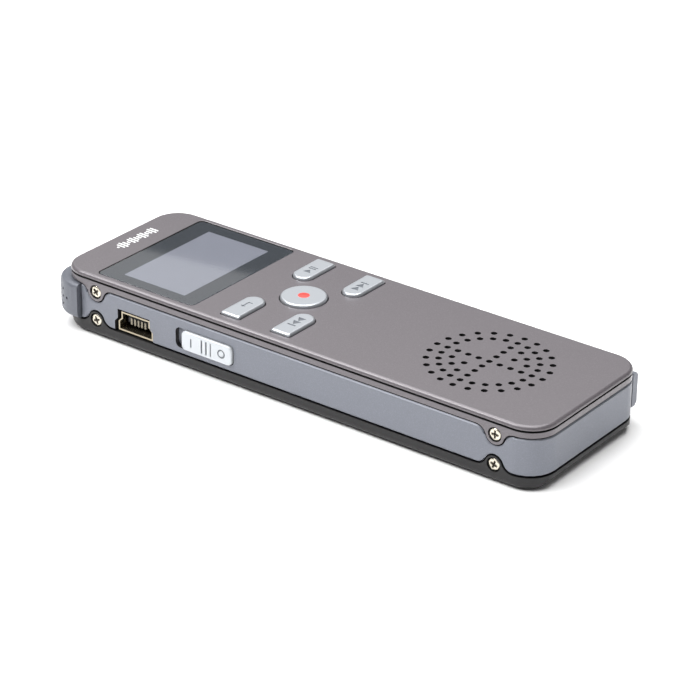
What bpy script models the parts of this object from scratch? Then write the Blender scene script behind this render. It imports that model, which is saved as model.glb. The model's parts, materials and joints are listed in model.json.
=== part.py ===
"""Handheld voice recorder, lying on its back with the keys up.

Every size is in millimetres and MM turns it to metres. X runs across the body (the USB socket and the
power slide are on the -X side), Y runs along it (the microphones are at +Y) and Z is the thickness.
The origin is on the flat back, midway between the two pairs of side screws.
"""

import math

import bmesh
import bpy
from mathutils import Matrix

MM = 0.001

# ---- Body -------------------------------------------------------------------------------------------
BODY_WIDTH = 32.0
BODY_LENGTH = 103.2
BODY_THICKNESS = 12.0
BODY_CORNER = 5.2            # radius of the four upright corners
SEAM_GAP = 0.25              # open line between each cover and the frame
FRONT_DEPTH = 2.15           # height of the front cover's side, measured down from the top face
REAR_DEPTH = 2.55            # height of the rear cover's side, measured up from the back
COVER_WALL = 1.2
FRONT_PLATE = 1.2
REAR_PLATE = 1.0
FRAME_WALL = 1.7
FRAME_CHAMFER = 0.25
FIT = 0.15                   # clearance round a piece that is let into another
RUNNING_FIT = 0.15           # clearance round a piece that slides

LIP_HEIGHT = 0.8             # rolled lip of the front plate
LIP_ROUND = 0.7
LIP_GROOVE = 0.25
LIP_GROOVE_DEPTH = 0.4
SKIRT_INSET = 0.06

REAR_SIDE_ROUND = 1.6        # long bottom edges of the rear cover
REAR_END_ROUND = 3.5         # length of the longer curve that turns its two ends up
REAR_END_RISE = 2.4          # height of that curve
REAR_CAVITY_END = 2.2        # solid left at the two ends of the rear cover's hollow

# ---- Screws and the ears they hold ------------------------------------------------------------------
SCREW_Y = 43.0               # the two pairs sit at plus and minus this
SCREW_HEAD_RADIUS = 1.15
SCREW_HEAD_HEIGHT = 0.75
SCREW_CROWN = 0.25           # fall of the head from its middle to its edge
SCREW_SHANK_RADIUS = 0.7
SCREW_LENGTH = 4.4
SCREW_HEAD_SUNK = 0.08       # head top below the side face
SCREW_CROSS_SPAN = 1.35
SCREW_CROSS_WIDTH = 0.32
SCREW_CROSS_DEPTH = 0.5
FRONT_SCREW_DROP = 3.12      # screw axis below the top face
REAR_SCREW_RISE = 3.35       # screw axis above the back
FRONT_EAR_RADIUS = 1.8
FRONT_EAR_FILLET = 2.125
REAR_EAR_RADIUS = 1.62
REAR_EAR_FILLET = 2.225
PILLAR_WIDTH = 4.6
PILLAR_DEPTH = 3.5           # how far the screw pillars stand in from the covers' ears
FRAME_BORE_DEPTH = 8.0       # of the screw bores, from the frame's outside
PILLAR_CLEARANCE = 0.3

# ---- Display ----------------------------------------------------------------------------------------
WINDOW_SIZE = (29.0, 21.9)
WINDOW_Y = 32.75
WINDOW_CORNER = 0.9
WINDOW_THICKNESS = 0.65
WINDOW_SUNK = 0.03
WINDOW_LEDGE = 1.1
ADHESIVE_THICKNESS = 0.08
ADHESIVE_FIT = 0.03
LCD_SIZE = (27.0, 16.4)
LCD_Y = 32.2
LCD_THICKNESS = 1.4
LCD_CLEARANCE = 0.2
BACKLIGHT_THICKNESS = 0.7
FLEX_WIDTH = 12.0
FLEX_THICKNESS = 0.2
FLEX_REACH = 1.4

# ---- Keypad -----------------------------------------------------------------------------------------
KEYPAD_Y = 8.45              # centre of the round record key
KEY_ROW_PITCH = 11.0         # between the two rows of side keys
KEY_OUTER_X = 14.0           # flat outer end of a side key's opening
KEY_LENGTH = 8.95
KEY_WIDTH = 4.4
RECORD_RADIUS = 4.35         # radius of the record key's opening
KEY_RISE = 0.55              # stands above the top face
KEY_ROUND = 0.4
KEY_FLANGE = 0.3             # flange wider than the key all round
KEY_FLANGE_THICKNESS = 0.6
KEY_FLANGE_GAP = 0.3         # flange below the plate
KEY_TRAVEL = 0.35
PLUNGER_RADIUS = 0.9
PLUNGER_LENGTH = 0.45
PLUNGER_GAP = 0.1            # left under a plunger when its key is fully down
DOT_RADIUS = 1.15
DOT_DEPTH = 0.4
DOT_PROUD = 0.03
DOT_FIT = 0.04
MEMBRANE_THICKNESS = 0.3
MEMBRANE_MARGIN = 0.35
MEMBRANE_CORNER = 1.0
DOME_RADIUS = 1.9
DOME_HEIGHT = 0.3
DOME_SHEET = 0.1
DOME_GAP = 0.08

# ---- Speaker ----------------------------------------------------------------------------------------
SPEAKER_Y = -30.9
GRILLE_RING_PITCH = 2.136
GRILLE_RINGS = 5
GRILLE_HOLE_RADIUS = 0.55
SPEAKER_RADIUS = 12.0
SPEAKER_DEPTH = 2.6
SPEAKER_WALL = 0.5
SEAT_WALL = 0.9
SEAT_DEPTH = 1.8
CLOTH_THICKNESS = 0.15
GASKET_THICKNESS = 0.3
GASKET_WIDTH = 1.1
STACK_GAP = 0.08
MAGNET_RADIUS = 6.2
MAGNET_HEIGHT = 2.2
COIL_RADIUS = 4.0
BASKET_FOOT = MAGNET_RADIUS + 0.5
BASKET_HOLE = COIL_RADIUS - 1.0
COIL_WALL = 0.3
CONE_SHEET = 0.25
CONE_DEPTH = 0.9             # edge of the cone down to the coil
CONE_SURROUND = 1.2          # width of the soft edge
SURROUND_DROP = 0.25
DOME_DROP = 0.2

# ---- Boards and battery -----------------------------------------------------------------------------
BOARD_TOP = 8.2
BOARD_THICKNESS = 1.0
BOARD_SIDE_GAP = 0.4
BOARD_FRONT_GAP = 1.0        # board's end behind the speaker
BOARD_LENGTH = 57.4
LEDGE_LENGTH = 3.0
LEDGE_REACH = 1.3
LEDGE_HEIGHT = 0.8
LEDGE_NEAR = -12.0
LEDGE_FAR = 27.2
PART_GAP = 0.1               # solder under a chip or a socket
CAN_ROUND = 0.45             # corner radius of the crystal can, as a share of its width
BATTERY_SIZE = (20.0, 34.0, 4.8)
BATTERY_X = 2.5
BATTERY_Y = 2.0
BATTERY_CORNER = 1.6
BATTERY_ROUND = 0.5
PAD_THICKNESS = 0.3
GUARD_SIZE = (15.0, 3.2, 1.6)

# ---- USB socket -------------------------------------------------------------------------------------
USB_Y = 33.9
USB_WIDE = 8.0
USB_NARROW = 6.6
USB_HEIGHT = 3.75
USB_SHOULDER = 1.7           # height of the wide lower part
USB_LENGTH = 7.0
USB_SHEET = 0.3
USB_SUNK = 0.3               # shell's mouth behind the side face
USB_BELOW_BOARD = 0.45
USB_NOTCH_GAP = 0.42         # round the shell, where it comes through the frame
USB_NOTCH_SHIFT = 0.2        # notch off centre, towards the microphones
TONGUE_WIDTH = 5.0
TONGUE_HEIGHT = 1.1
TONGUE_DROP = 0.75           # tongue below the inside of the shell's roof
TONGUE_SUNK = 1.0
CONTACTS = 5
CONTACT_PITCH = 0.8
CONTACT_WIDTH = 0.4
CONTACT_SHEET = 0.2
CONTACT_LENGTH = 4.2
CONTACT_LIP = 0.15
CONTACT_FIT = 0.05
USB_BLOCK_LENGTH = 1.0
USB_BLOCK_FIT = 0.05

# ---- Power slide ------------------------------------------------------------------------------------
SLIDE_SLOT_NEAR = 11.3
SLIDE_SLOT_FAR = 24.4
SLIDE_Z = 5.9                # middle of the slot
SLIDE_SLOT_HEIGHT = 3.9
SLIDE_SLOT_CORNER = 1.0
SLIDE_RECESS = 0.9
SLIDE_TRAVEL = 1.5
KNOB_PROUD = 0.55
KNOB_ROUND = 0.25
KNOB_HEIGHT_GAP = 0.12
KNOB_END_GAP = 0.2
KNOB_GRIP_GROOVES = 3
KNOB_GRIP_PITCH = 1.0
KNOB_GRIP_WIDTH = 0.35
KNOB_GRIP_DEPTH = 0.25
KNOB_GRIP_SPAN = 0.7         # share of the knob's height
STEM_LENGTH = 4.0
STEM_HEIGHT = 1.4
LEVER_LENGTH = 1.6
LEVER_HEIGHT = 0.8
SWITCH_BODY = (3.0, 9.0, 2.2)
SWITCH_WALL_GAP = 0.3
SWITCH_WINDOW_DEPTH = 1.4
LEVER_IN_STEM = 0.6

# ---- Microphone end ---------------------------------------------------------------------------------
CAP_PROUD = 1.0              # cap outside the body's sides
CAP_OVERHANG = 2.0           # cap past the end of the body
CAP_START = 46.6
CAP_CORNER = 5.66
CAP_CHAMFER = 0.85
CAP_SEAT = 0.6               # frame let in under the cap
CAP_STEP_GAP = 0.3
MIC_HOLE_RADIUS = 0.3
MIC_HOLE_PITCH = 1.45
MIC_HOLE_REACH = 3.2         # depth of the holes, through the cap's wall
MIC_HOLES = (1, 3, 3, 3, 1)  # in each column of holes, round the corner
MIC_COLUMN_ANGLE = 13.0      # between the columns of holes round the corner, in degrees
MIC_RADIUS = 1.5
MIC_LENGTH = 1.2
MIC_BOOT_WALL = 0.35
MIC_BOOT_LENGTH = 1.8
MIC_OFFSET = 1.7             # capsule's centre out from the corner's centre
MIC_PORT_RADIUS = 1.2
JACK_X = 4.0
JACK_NOSE_RADIUS = 2.3
JACK_BORE_RADIUS = 1.8
JACK_BORE_DEPTH = 8.5
JACK_BODY = (6.2, 7.0, 4.8)
JACK_NOSE_SUNK = 0.3         # nose behind the cap's end face

# ---- Lanyard bar ------------------------------------------------------------------------------------
BAR_Y = -48.45
BAR_LENGTH = 2.9
BAR_THICKNESS = 1.6
BAR_PROUD = 1.0
BAR_HEIGHT = 6.4
BAR_FOOT = 1.1
BAR_CHAMFER = 0.6
STRAP_POCKET_DEPTH = 1.5     # behind the bar
STRAP_POCKET_EXTRA = 1.3     # beyond the bar, towards the screws
BACKING_DEPTH = 1.9
BACKING_INSET = 0.4          # below the frame's rims

# ---- Levels and faces that follow from the sizes above ----------------------------------------------
SIDE = BODY_WIDTH / 2
END = BODY_LENGTH / 2
TOP = BODY_THICKNESS
FRONT_EDGE = TOP - FRONT_DEPTH
FRAME_TOP = FRONT_EDGE - SEAM_GAP
FRAME_BOTTOM = REAR_DEPTH + SEAM_GAP
FRAME_MIDDLE = (FRAME_TOP + FRAME_BOTTOM) / 2
PLATE_UNDER = TOP - FRONT_PLATE
COVER_INSIDE = SIDE - COVER_WALL
FRAME_INSIDE = SIDE - FRAME_WALL
FRONT_SCREW_Z = TOP - FRONT_SCREW_DROP
REAR_SCREW_Z = REAR_SCREW_RISE
EAR_FLOOR = COVER_INSIDE - FIT
BOARD_UNDER = BOARD_TOP - BOARD_THICKNESS
BOARD_NEAR = SPEAKER_Y + SPEAKER_RADIUS + BOARD_FRONT_GAP
BOARD_FAR = BOARD_NEAR + BOARD_LENGTH
FLANGE_TOP = PLATE_UNDER - KEY_FLANGE_GAP
FLANGE_UNDER = FLANGE_TOP - KEY_FLANGE_THICKNESS
PLUNGER_END = FLANGE_UNDER - PLUNGER_LENGTH
MEMBRANE_TOP = PLUNGER_END - KEY_TRAVEL - PLUNGER_GAP
WINDOW_UNDER = TOP - WINDOW_SUNK - WINDOW_THICKNESS
LCD_TOP = PLATE_UNDER - LCD_CLEARANCE
USB_ROOF = BOARD_UNDER - USB_BELOW_BOARD
USB_FLOOR = USB_ROOF - USB_HEIGHT
USB_MOUTH = USB_SUNK - SIDE
KNOB_LENGTH = SLIDE_SLOT_FAR - SLIDE_SLOT_NEAR - SLIDE_TRAVEL - 2 * KNOB_END_GAP
KNOB_MIDDLE = SLIDE_SLOT_NEAR + KNOB_END_GAP + KNOB_LENGTH / 2
SWITCH_FACE = SWITCH_WALL_GAP - FRAME_INSIDE
BAR_INSIDE = SIDE + BAR_PROUD - BAR_THICKNESS
JACK_FRONT = END - FRAME_WALL - FIT
SIDE_KEYS = (
    ("key_play", 1, KEYPAD_Y + KEY_ROW_PITCH / 2),
    ("key_next", 1, KEYPAD_Y - KEY_ROW_PITCH / 2),
    ("key_menu", -1, KEYPAD_Y + KEY_ROW_PITCH / 2),
    ("key_previous", -1, KEYPAD_Y - KEY_ROW_PITCH / 2),
)
FAR = 80.0                   # reach of a cutter that has to pass the whole body
PAST = 1.0                   # how far a cutter runs past the face that it opens
LAP = 0.2                    # how far a piece that is joined on reaches into its neighbour
SKIRT_BELOW_EAR = 0.5        # how far a cover's blank runs past its ears before its edge is cut

ROUND_STEPS = 6              # segments of an upright corner
EDGE_STEPS = 2               # segments of a rounded edge


# ---- Modelling helpers ------------------------------------------------------------------------------
def clear_scene():
    for obj in list(bpy.data.objects):
        bpy.data.objects.remove(obj, do_unlink=True)


def new_collection(name):
    group = bpy.data.collections.new(name)
    bpy.context.scene.collection.children.link(group)
    return group


def finish(name, colour, roughness, metallic=0.0):
    """A Principled material from its base colour, roughness and metallic value."""
    material = bpy.data.materials.new(name)
    material.use_nodes = True
    shader = material.node_tree.nodes["Principled BSDF"]
    shader.inputs["Base Color"].default_value = (*colour, 1.0)
    shader.inputs["Roughness"].default_value = roughness
    shader.inputs["Metallic"].default_value = metallic
    return material


def place(name, bm, material=None):
    """The bmesh, in millimetres, as an object: a part if it has a material, and a cutter if not."""
    bmesh.ops.scale(bm, vec=(MM, MM, MM), verts=bm.verts)
    bmesh.ops.recalc_face_normals(bm, faces=bm.faces)
    mesh = bpy.data.meshes.new(name)
    bm.to_mesh(mesh)
    bm.free()
    return add_object(name, mesh, material)


def add_object(name, mesh, material=None):
    obj = bpy.data.objects.new(name, mesh)
    if material is None:
        CUTTERS.objects.link(obj)
        obj.hide_render = True
        obj.display_type = "WIRE"
        return obj
    PARTS.objects.link(obj)
    if material.name not in mesh.materials:
        mesh.materials.append(material)
    mesh.shade_smooth()
    mesh.set_sharp_from_angle(angle=math.radians(35))
    return obj


def set_origin(obj, point):
    """Moves the object's origin to a point given in millimetres, and leaves its surface where it is."""
    shift = Matrix.Translation([value * MM for value in point])
    obj.data.transform(shift.inverted())
    obj.matrix_world = shift


def box_mesh(low, high, corner=0.0, top=0.0, bottom=0.0, corner_steps=ROUND_STEPS, edge_steps=EDGE_STEPS):
    """A box between two corners, with its upright edges and its top and bottom rims rounded."""
    bm = bmesh.new()
    bmesh.ops.create_cube(bm, size=1.0)
    bmesh.ops.scale(bm, vec=[b - a for a, b in zip(low, high)], verts=bm.verts)
    bmesh.ops.translate(bm, vec=[(a + b) / 2 for a, b in zip(low, high)], verts=bm.verts)
    if corner:
        upright = [e for e in bm.edges if e.verts[0].co.z != e.verts[1].co.z]
        round_edges(bm, upright, corner, corner_steps)
    for level, width in ((high[2], top), (low[2], bottom)):
        if width:
            rim = [e for e in bm.edges if all(abs(v.co.z - level) < 1e-4 for v in e.verts)]
            round_edges(bm, rim, width, edge_steps)
    return bm


def round_edges(bm, edges, width, steps):
    bmesh.ops.bevel(
        bm, geom=edges, offset=width, offset_type="OFFSET", segments=steps, profile=0.5, affect="EDGES"
    )


def box(name, low, high, material=None, **rounding):
    return place(name, box_mesh(low, high, **rounding), material)


def body_box(name, inset, low_z, high_z, material=None, **rounding):
    """A box with the body's plan, drawn in by inset all round."""
    corner = BODY_CORNER - inset
    low = (inset - SIDE, inset - END, low_z)
    high = (SIDE - inset, END - inset, high_z)
    return box(name, low, high, material, corner=corner, **rounding)


def rod_mesh(radius, start, end, steps=16):
    """A cylinder from one point to another."""
    run = [b - a for a, b in zip(start, end)]
    length = math.sqrt(sum(part * part for part in run))
    middle = [(a + b) / 2 for a, b in zip(start, end)]
    yaw = math.atan2(run[1], run[0])
    tilt = math.acos(run[2] / length)
    turn = Matrix.Rotation(yaw, 4, "Z") @ Matrix.Rotation(tilt, 4, "Y")
    bm = bmesh.new()
    bmesh.ops.create_cone(
        bm, cap_ends=True, segments=steps, radius1=radius, radius2=radius, depth=length,
        matrix=Matrix.Translation(middle) @ turn,
    )
    return bm


def rod(name, radius, start, end, material=None, steps=16):
    return place(name, rod_mesh(radius, start, end, steps), material)


def rods(name, radius, runs, steps=16):
    """Several separate cylinders in one cutter."""
    whole = bmesh.new()
    for start, end in runs:
        single = rod_mesh(radius, start, end, steps)
        scratch = bpy.data.meshes.new(name)
        single.to_mesh(scratch)
        single.free()
        whole.from_mesh(scratch)
        bpy.data.meshes.remove(scratch)
    return place(name, whole)


def mesh_from(obj):
    """The object's evaluated shape as a plain welded mesh, after which the object is gone."""
    bpy.context.view_layer.update()
    graph = bpy.context.evaluated_depsgraph_get()
    mesh = bpy.data.meshes.new_from_object(obj.evaluated_get(graph))
    bm = bmesh.new()
    bm.from_mesh(mesh)
    bmesh.ops.transform(bm, matrix=obj.matrix_world, verts=bm.verts)
    bmesh.ops.remove_doubles(bm, verts=bm.verts, dist=1e-7)
    bmesh.ops.scale(bm, vec=(1 / MM, 1 / MM, 1 / MM), verts=bm.verts)
    bpy.data.objects.remove(obj, do_unlink=True)
    bpy.data.meshes.remove(mesh)
    return bm


def flat_mesh(name, outline, start, end, along="Z"):
    """A closed outline drawn as a filled 2D curve and extruded from start to end along Z, X or Y.

    The outline's points are (x, y) for Z, (y, z) for X and (x, z) for Y.
    """
    curve = bpy.data.curves.new(name, "CURVE")
    curve.dimensions = "2D"
    curve.fill_mode = "BOTH"
    curve.extrude = (end - start) / 2 * MM
    spline = curve.splines.new("POLY")
    spline.points.add(len(outline) - 1)
    for point, (u, v) in zip(spline.points, outline):
        point.co = (u * MM, v * MM, 0, 1)
    spline.use_cyclic_u = True
    obj = bpy.data.objects.new(name, curve)
    bpy.context.scene.collection.objects.link(obj)
    middle = (start + end) / 2 * MM
    turn = {
        "Z": Matrix.Identity(4),
        "X": Matrix(((0, 0, 1, 0), (1, 0, 0, 0), (0, 1, 0, 0), (0, 0, 0, 1))),
        "Y": Matrix(((1, 0, 0, 0), (0, 0, -1, 0), (0, 1, 0, 0), (0, 0, 0, 1))),
    }[along]
    away = -middle if along == "Y" else middle
    obj.matrix_world = turn @ Matrix.Translation((0, 0, away))
    bm = mesh_from(obj)
    bpy.data.curves.remove(curve)
    return bm


def flat(name, outline, start, end, along="Z", material=None, top=0.0):
    bm = flat_mesh(name, outline, start, end, along)
    if top:
        rim = [e for e in bm.edges if e.calc_face_angle(0) > 1 and all(v.co.z > end - 1e-3 for v in e.verts)]
        round_edges(bm, rim, top, EDGE_STEPS)
    return place(name, bm, material)


def turned(name, profile, centre, material=None, steps=32, closed=False):
    """A profile of (radius, height) points turned about the upright axis through centre.

    The profile runs from the top of the axis down the outer side, or round a closed section.
    """
    mesh = bpy.data.meshes.new(name)
    points = [(radius * MM, 0, height * MM) for radius, height in profile]
    links = [(i, i + 1) for i in range(len(points) - 1)]
    if closed:
        links.append((len(points) - 1, 0))
    mesh.from_pydata(points, links, [])
    obj = bpy.data.objects.new(name, mesh)
    bpy.context.scene.collection.objects.link(obj)
    screw = obj.modifiers.new("turn", "SCREW")
    screw.angle = 2 * math.pi
    screw.steps = steps
    screw.render_steps = steps
    screw.use_merge_vertices = True
    screw.merge_threshold = 1e-7
    bm = mesh_from(obj)
    bmesh.ops.translate(bm, vec=centre, verts=bm.verts)
    bpy.data.meshes.remove(mesh)
    return place(name, bm, material)


def boolean(target, operation, *tools):
    for tool in tools:
        modifier = target.modifiers.new(tool.name, "BOOLEAN")
        modifier.operation = operation
        modifier.object = tool


def cut(target, *tools):
    boolean(target, "DIFFERENCE", *tools)


def join(target, *tools):
    boolean(target, "UNION", *tools)


# ---- Outlines ---------------------------------------------------------------------------------------
def arc(centre, radius, start, end, steps):
    """Points on an arc between two angles in degrees."""
    angles = [math.radians(start + (end - start) * i / steps) for i in range(steps + 1)]
    return [(centre[0] + radius * math.cos(a), centre[1] + radius * math.sin(a)) for a in angles]


def ear_curve(lobe, fillet, depth, steps=5):
    """One ear of a cover's edge as (offset along the edge, distance past the edge).

    The round lobe sits on the screw, depth past the edge, and a fillet joins it to the edge on each side.
    """
    turn = math.acos((fillet - depth) / (lobe + fillet))
    reach = (lobe + fillet) * math.sin(turn)
    side = [turn * i / steps for i in range(steps + 1)]
    rising = [(fillet * math.sin(t) - reach, fillet - fillet * math.cos(t)) for t in side]
    round_end = [turn * (2 * i / (2 * steps) - 1) for i in range(1, 2 * steps)]
    crown = [(lobe * math.sin(t), depth + lobe * math.cos(t)) for t in round_end]
    falling = [(-offset, past) for offset, past in reversed(rising)]
    return rising + crown + falling


def side_key_outline(side, row_y, inset):
    """A side key: flat at its outer end, a half circle at its inner end; side is -1 or +1."""
    half = KEY_WIDTH / 2 - inset
    outer = KEY_OUTER_X - inset
    inner = KEY_OUTER_X - KEY_LENGTH + KEY_WIDTH / 2
    bow = arc((-inner, 0), half, -90, 90, 10)
    outline = [(-outer, -half), *bow, (-outer, half)]
    return [(-side * x, row_y + y) for x, y in outline]


def rounded_outline(half_u, half_v, corner, steps=4):
    """A rectangle with round corners about the origin."""
    points = []
    for quarter, (su, sv) in enumerate(((1, 1), (-1, 1), (-1, -1), (1, -1))):
        centre = (su * (half_u - corner), sv * (half_v - corner))
        points += arc(centre, corner, 90 * quarter, 90 * quarter + 90, steps)
    return points


def usb_outline(grow):
    """The socket's section as (y, z): a wide lower part under a narrower roof, grown by a margin."""
    wide = USB_WIDE / 2 + grow
    narrow = USB_NARROW / 2 + grow
    floor = USB_FLOOR - grow
    roof = USB_ROOF + grow
    shoulder = USB_FLOOR + USB_SHOULDER
    slope = USB_WIDE / 2 - USB_NARROW / 2
    right = [(wide, floor), (wide, shoulder), (narrow, shoulder + slope), (narrow, roof)]
    left = [(-y, z) for y, z in reversed(right)]
    return [(USB_Y + y, z) for y, z in right + left]


# ---- Covers and frame -------------------------------------------------------------------------------
def cover_edge_cutter(name, edge_z, way, screw_z, lobe, fillet):
    """Takes away everything past a cover's edge except its four ears. way is -1 down, +1 up."""
    depth = abs(screw_z - edge_z)
    ear = ear_curve(lobe, fillet, depth)
    outline = [(-FAR, edge_z + way * FAR / 4), (-FAR, edge_z)]
    for screw_y in (-SCREW_Y, SCREW_Y):
        outline += [(screw_y + offset, edge_z + way * past) for offset, past in ear]
    outline += [(FAR, edge_z), (FAR, edge_z + way * FAR / 4)]
    return flat(name, outline, -FAR, FAR, along="X")


def ear_hole_cutters(name, screw_z):
    """Counterbores for the screw heads and the holes for their shanks, on both sides."""
    seat = SIDE - SCREW_HEAD_SUNK - SCREW_HEAD_HEIGHT - FIT
    heads = []
    shanks = []
    for side in (-1, 1):
        for y in (-SCREW_Y, SCREW_Y):
            heads.append(((side * seat, y, screw_z), (side * (SIDE + PAST), y, screw_z)))
            shanks.append(((side * (EAR_FLOOR - PAST), y, screw_z), (side * (seat + LAP), y, screw_z)))
    return (
        rods(name + "_heads", SCREW_HEAD_RADIUS + FIT, heads),
        rods(name + "_shanks", SCREW_SHANK_RADIUS + FIT, shanks),
    )


def grille_holes():
    """Centres of the speaker holes: rings about a centre hole.

    The two outer rings are full. The inner rings are full on the four axes, and filled in between
    only in two opposite quarters, with one more halving on each ring.
    """
    centres = [(0.0, 0.0)]
    for ring in range(1, GRILLE_RINGS + 1):
        outer = ring > GRILLE_RINGS - 2
        per_quarter = 6 if outer else 2 ** (ring - 1)
        for quarter in range(4):
            filled = outer or quarter % 2 == 1
            for i in range(per_quarter if filled else 1):
                angle = math.radians(90 * (quarter + i / per_quarter))
                radius = ring * GRILLE_RING_PITCH
                centres.append((radius * math.cos(angle), radius * math.sin(angle)))
    return centres


def make_front_cover(material):
    skirt_bottom = FRONT_SCREW_Z - FRONT_EAR_RADIUS - SKIRT_BELOW_EAR
    groove_top = TOP - LIP_HEIGHT
    groove_bottom = groove_top - LIP_GROOVE
    cover = body_box("front_cover", SKIRT_INSET, skirt_bottom, groove_bottom, material)
    neck = body_box("join_neck", LIP_GROOVE_DEPTH, groove_bottom - LAP, groove_top + LAP)
    lip = body_box("join_lip", 0.0, groove_top, TOP, top=LIP_ROUND)
    join(cover, neck, lip)
    hollow = body_box("cut_front_hollow", COVER_WALL, skirt_bottom - PAST, PLATE_UNDER)
    edge = cover_edge_cutter(
        "cut_front_edge", FRONT_EDGE, -1, FRONT_SCREW_Z, FRONT_EAR_RADIUS, FRONT_EAR_FILLET
    )
    cut(cover, hollow, edge, *ear_hole_cutters("cut_front_ear", FRONT_SCREW_Z))

    seat_low = PLATE_UNDER - SEAT_DEPTH
    seat_in = SPEAKER_RADIUS + FIT
    seat_out = seat_in + SEAT_WALL
    seat_top = PLATE_UNDER + LAP
    section = [(seat_in, seat_top), (seat_out, seat_top), (seat_out, seat_low), (seat_in, seat_low)]
    join(cover, turned("join_speaker_seat", section, (0, SPEAKER_Y, 0), closed=True))

    wide, long = (size / 2 for size in WINDOW_SIZE)
    recess_floor = WINDOW_UNDER - ADHESIVE_THICKNESS - 2 * ADHESIVE_FIT
    recess = box(
        "cut_window_recess",
        (-wide - FIT, WINDOW_Y - long - FIT, recess_floor),
        (wide + FIT, WINDOW_Y + long + FIT, TOP + PAST),
        corner=WINDOW_CORNER,
    )
    opening = box(
        "cut_window_opening",
        (WINDOW_LEDGE - wide, WINDOW_Y + WINDOW_LEDGE - long, PLATE_UNDER - PAST),
        (wide - WINDOW_LEDGE, WINDOW_Y + long - WINDOW_LEDGE, TOP + PAST),
        corner=WINDOW_CORNER,
    )
    cut(cover, recess, opening)
    for name, side, row in SIDE_KEYS:
        cut(cover, flat("cut_" + name, side_key_outline(side, row, 0.0), PLATE_UNDER - PAST, TOP + PAST))
    low = PLATE_UNDER - PAST
    high = TOP + PAST
    record = rod("cut_key_record", RECORD_RADIUS, (0, KEYPAD_Y, low), (0, KEYPAD_Y, high), steps=32)
    runs = [((x, y + SPEAKER_Y, low), (x, y + SPEAKER_Y, high)) for x, y in grille_holes()]
    cut(cover, record, rods("cut_grille", GRILLE_HOLE_RADIUS, runs, steps=8))


def make_rear_cover(material):
    wall_top = REAR_SCREW_Z + REAR_EAR_RADIUS + SKIRT_BELOW_EAR
    cover = body_box("rear_cover", 0.0, 0.0, wall_top, material, bottom=REAR_SIDE_ROUND, edge_steps=3)
    steps = 5
    quarter = [math.radians(90 * i / steps) for i in range(steps + 1)]
    far_end = [
        (END - REAR_END_ROUND * (1 - math.sin(t)), REAR_END_RISE * (1 - math.cos(t))) for t in quarter
    ]
    near_end = [(-y, z) for y, z in reversed(far_end)]
    outline = [*far_end, (END, wall_top + PAST), (-END, wall_top + PAST), *near_end]
    boolean(cover, "INTERSECT", flat("keep_rear_ends", outline, -FAR, FAR, along="X"))
    hollow = box(
        "cut_rear_hollow",
        (-COVER_INSIDE, REAR_CAVITY_END - END, REAR_PLATE),
        (COVER_INSIDE, END - REAR_CAVITY_END, wall_top + PAST),
        corner=BODY_CORNER - COVER_WALL,
    )
    edge = cover_edge_cutter("cut_rear_edge", REAR_DEPTH, 1, REAR_SCREW_Z, REAR_EAR_RADIUS, REAR_EAR_FILLET)
    cut(cover, hollow, edge, *ear_hole_cutters("cut_rear_ear", REAR_SCREW_Z))


def ear_notches(name, edge_z, way, screw_z, lobe, fillet):
    """Notches in the frame's outside that clear the covers' ears by the seam gap."""
    depth = abs(screw_z - edge_z) - SEAM_GAP
    ear = ear_curve(lobe + SEAM_GAP, fillet - SEAM_GAP, depth)
    frame_z = edge_z + way * SEAM_GAP
    cutters = []
    for side in (-1, 1):
        low, high = sorted((side * EAR_FLOOR, side * (SIDE + PAST)))
        for screw_y in (-SCREW_Y, SCREW_Y):
            outline = [(screw_y + offset, frame_z + way * past) for offset, past in ear]
            outside = frame_z - 2 * way
            outline = [(outline[0][0], outside), *outline, (outline[-1][0], outside)]
            tag = f"{name}_{'left' if side < 0 else 'right'}_{'near' if screw_y < 0 else 'far'}"
            cutters.append(flat(tag, outline, low, high, along="X"))
    return cutters


def make_mid_frame(material):
    frame = box(
        "mid_frame", (-SIDE, -END, FRAME_BOTTOM), (SIDE, END, FRAME_TOP), material,
        corner=BODY_CORNER, top=FRAME_CHAMFER, bottom=FRAME_CHAMFER, edge_steps=1,
    )
    cut(frame, body_box("cut_frame_inside", FRAME_WALL, FRAME_BOTTOM - PAST, FRAME_TOP + PAST))
    make_side_openings(frame)
    make_frame_supports(frame)
    cut(
        frame,
        *ear_notches(
            "cut_front_notch", FRONT_EDGE, -1, FRONT_SCREW_Z, FRONT_EAR_RADIUS, FRONT_EAR_FILLET
        ),
        *ear_notches("cut_rear_notch", REAR_DEPTH, 1, REAR_SCREW_Z, REAR_EAR_RADIUS, REAR_EAR_FILLET),
    )
    bores = []
    for side in (-1, 1):
        for y in (-SCREW_Y, SCREW_Y):
            for z in (FRONT_SCREW_Z, REAR_SCREW_Z):
                bores.append(((side * (SIDE - FRAME_BORE_DEPTH), y, z), (side * (SIDE + PAST), y, z)))
    cut(frame, rods("cut_frame_bores", SCREW_SHANK_RADIUS + FIT, bores, steps=12))
    make_mic_end(frame)
    make_strap_pocket(frame)


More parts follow.
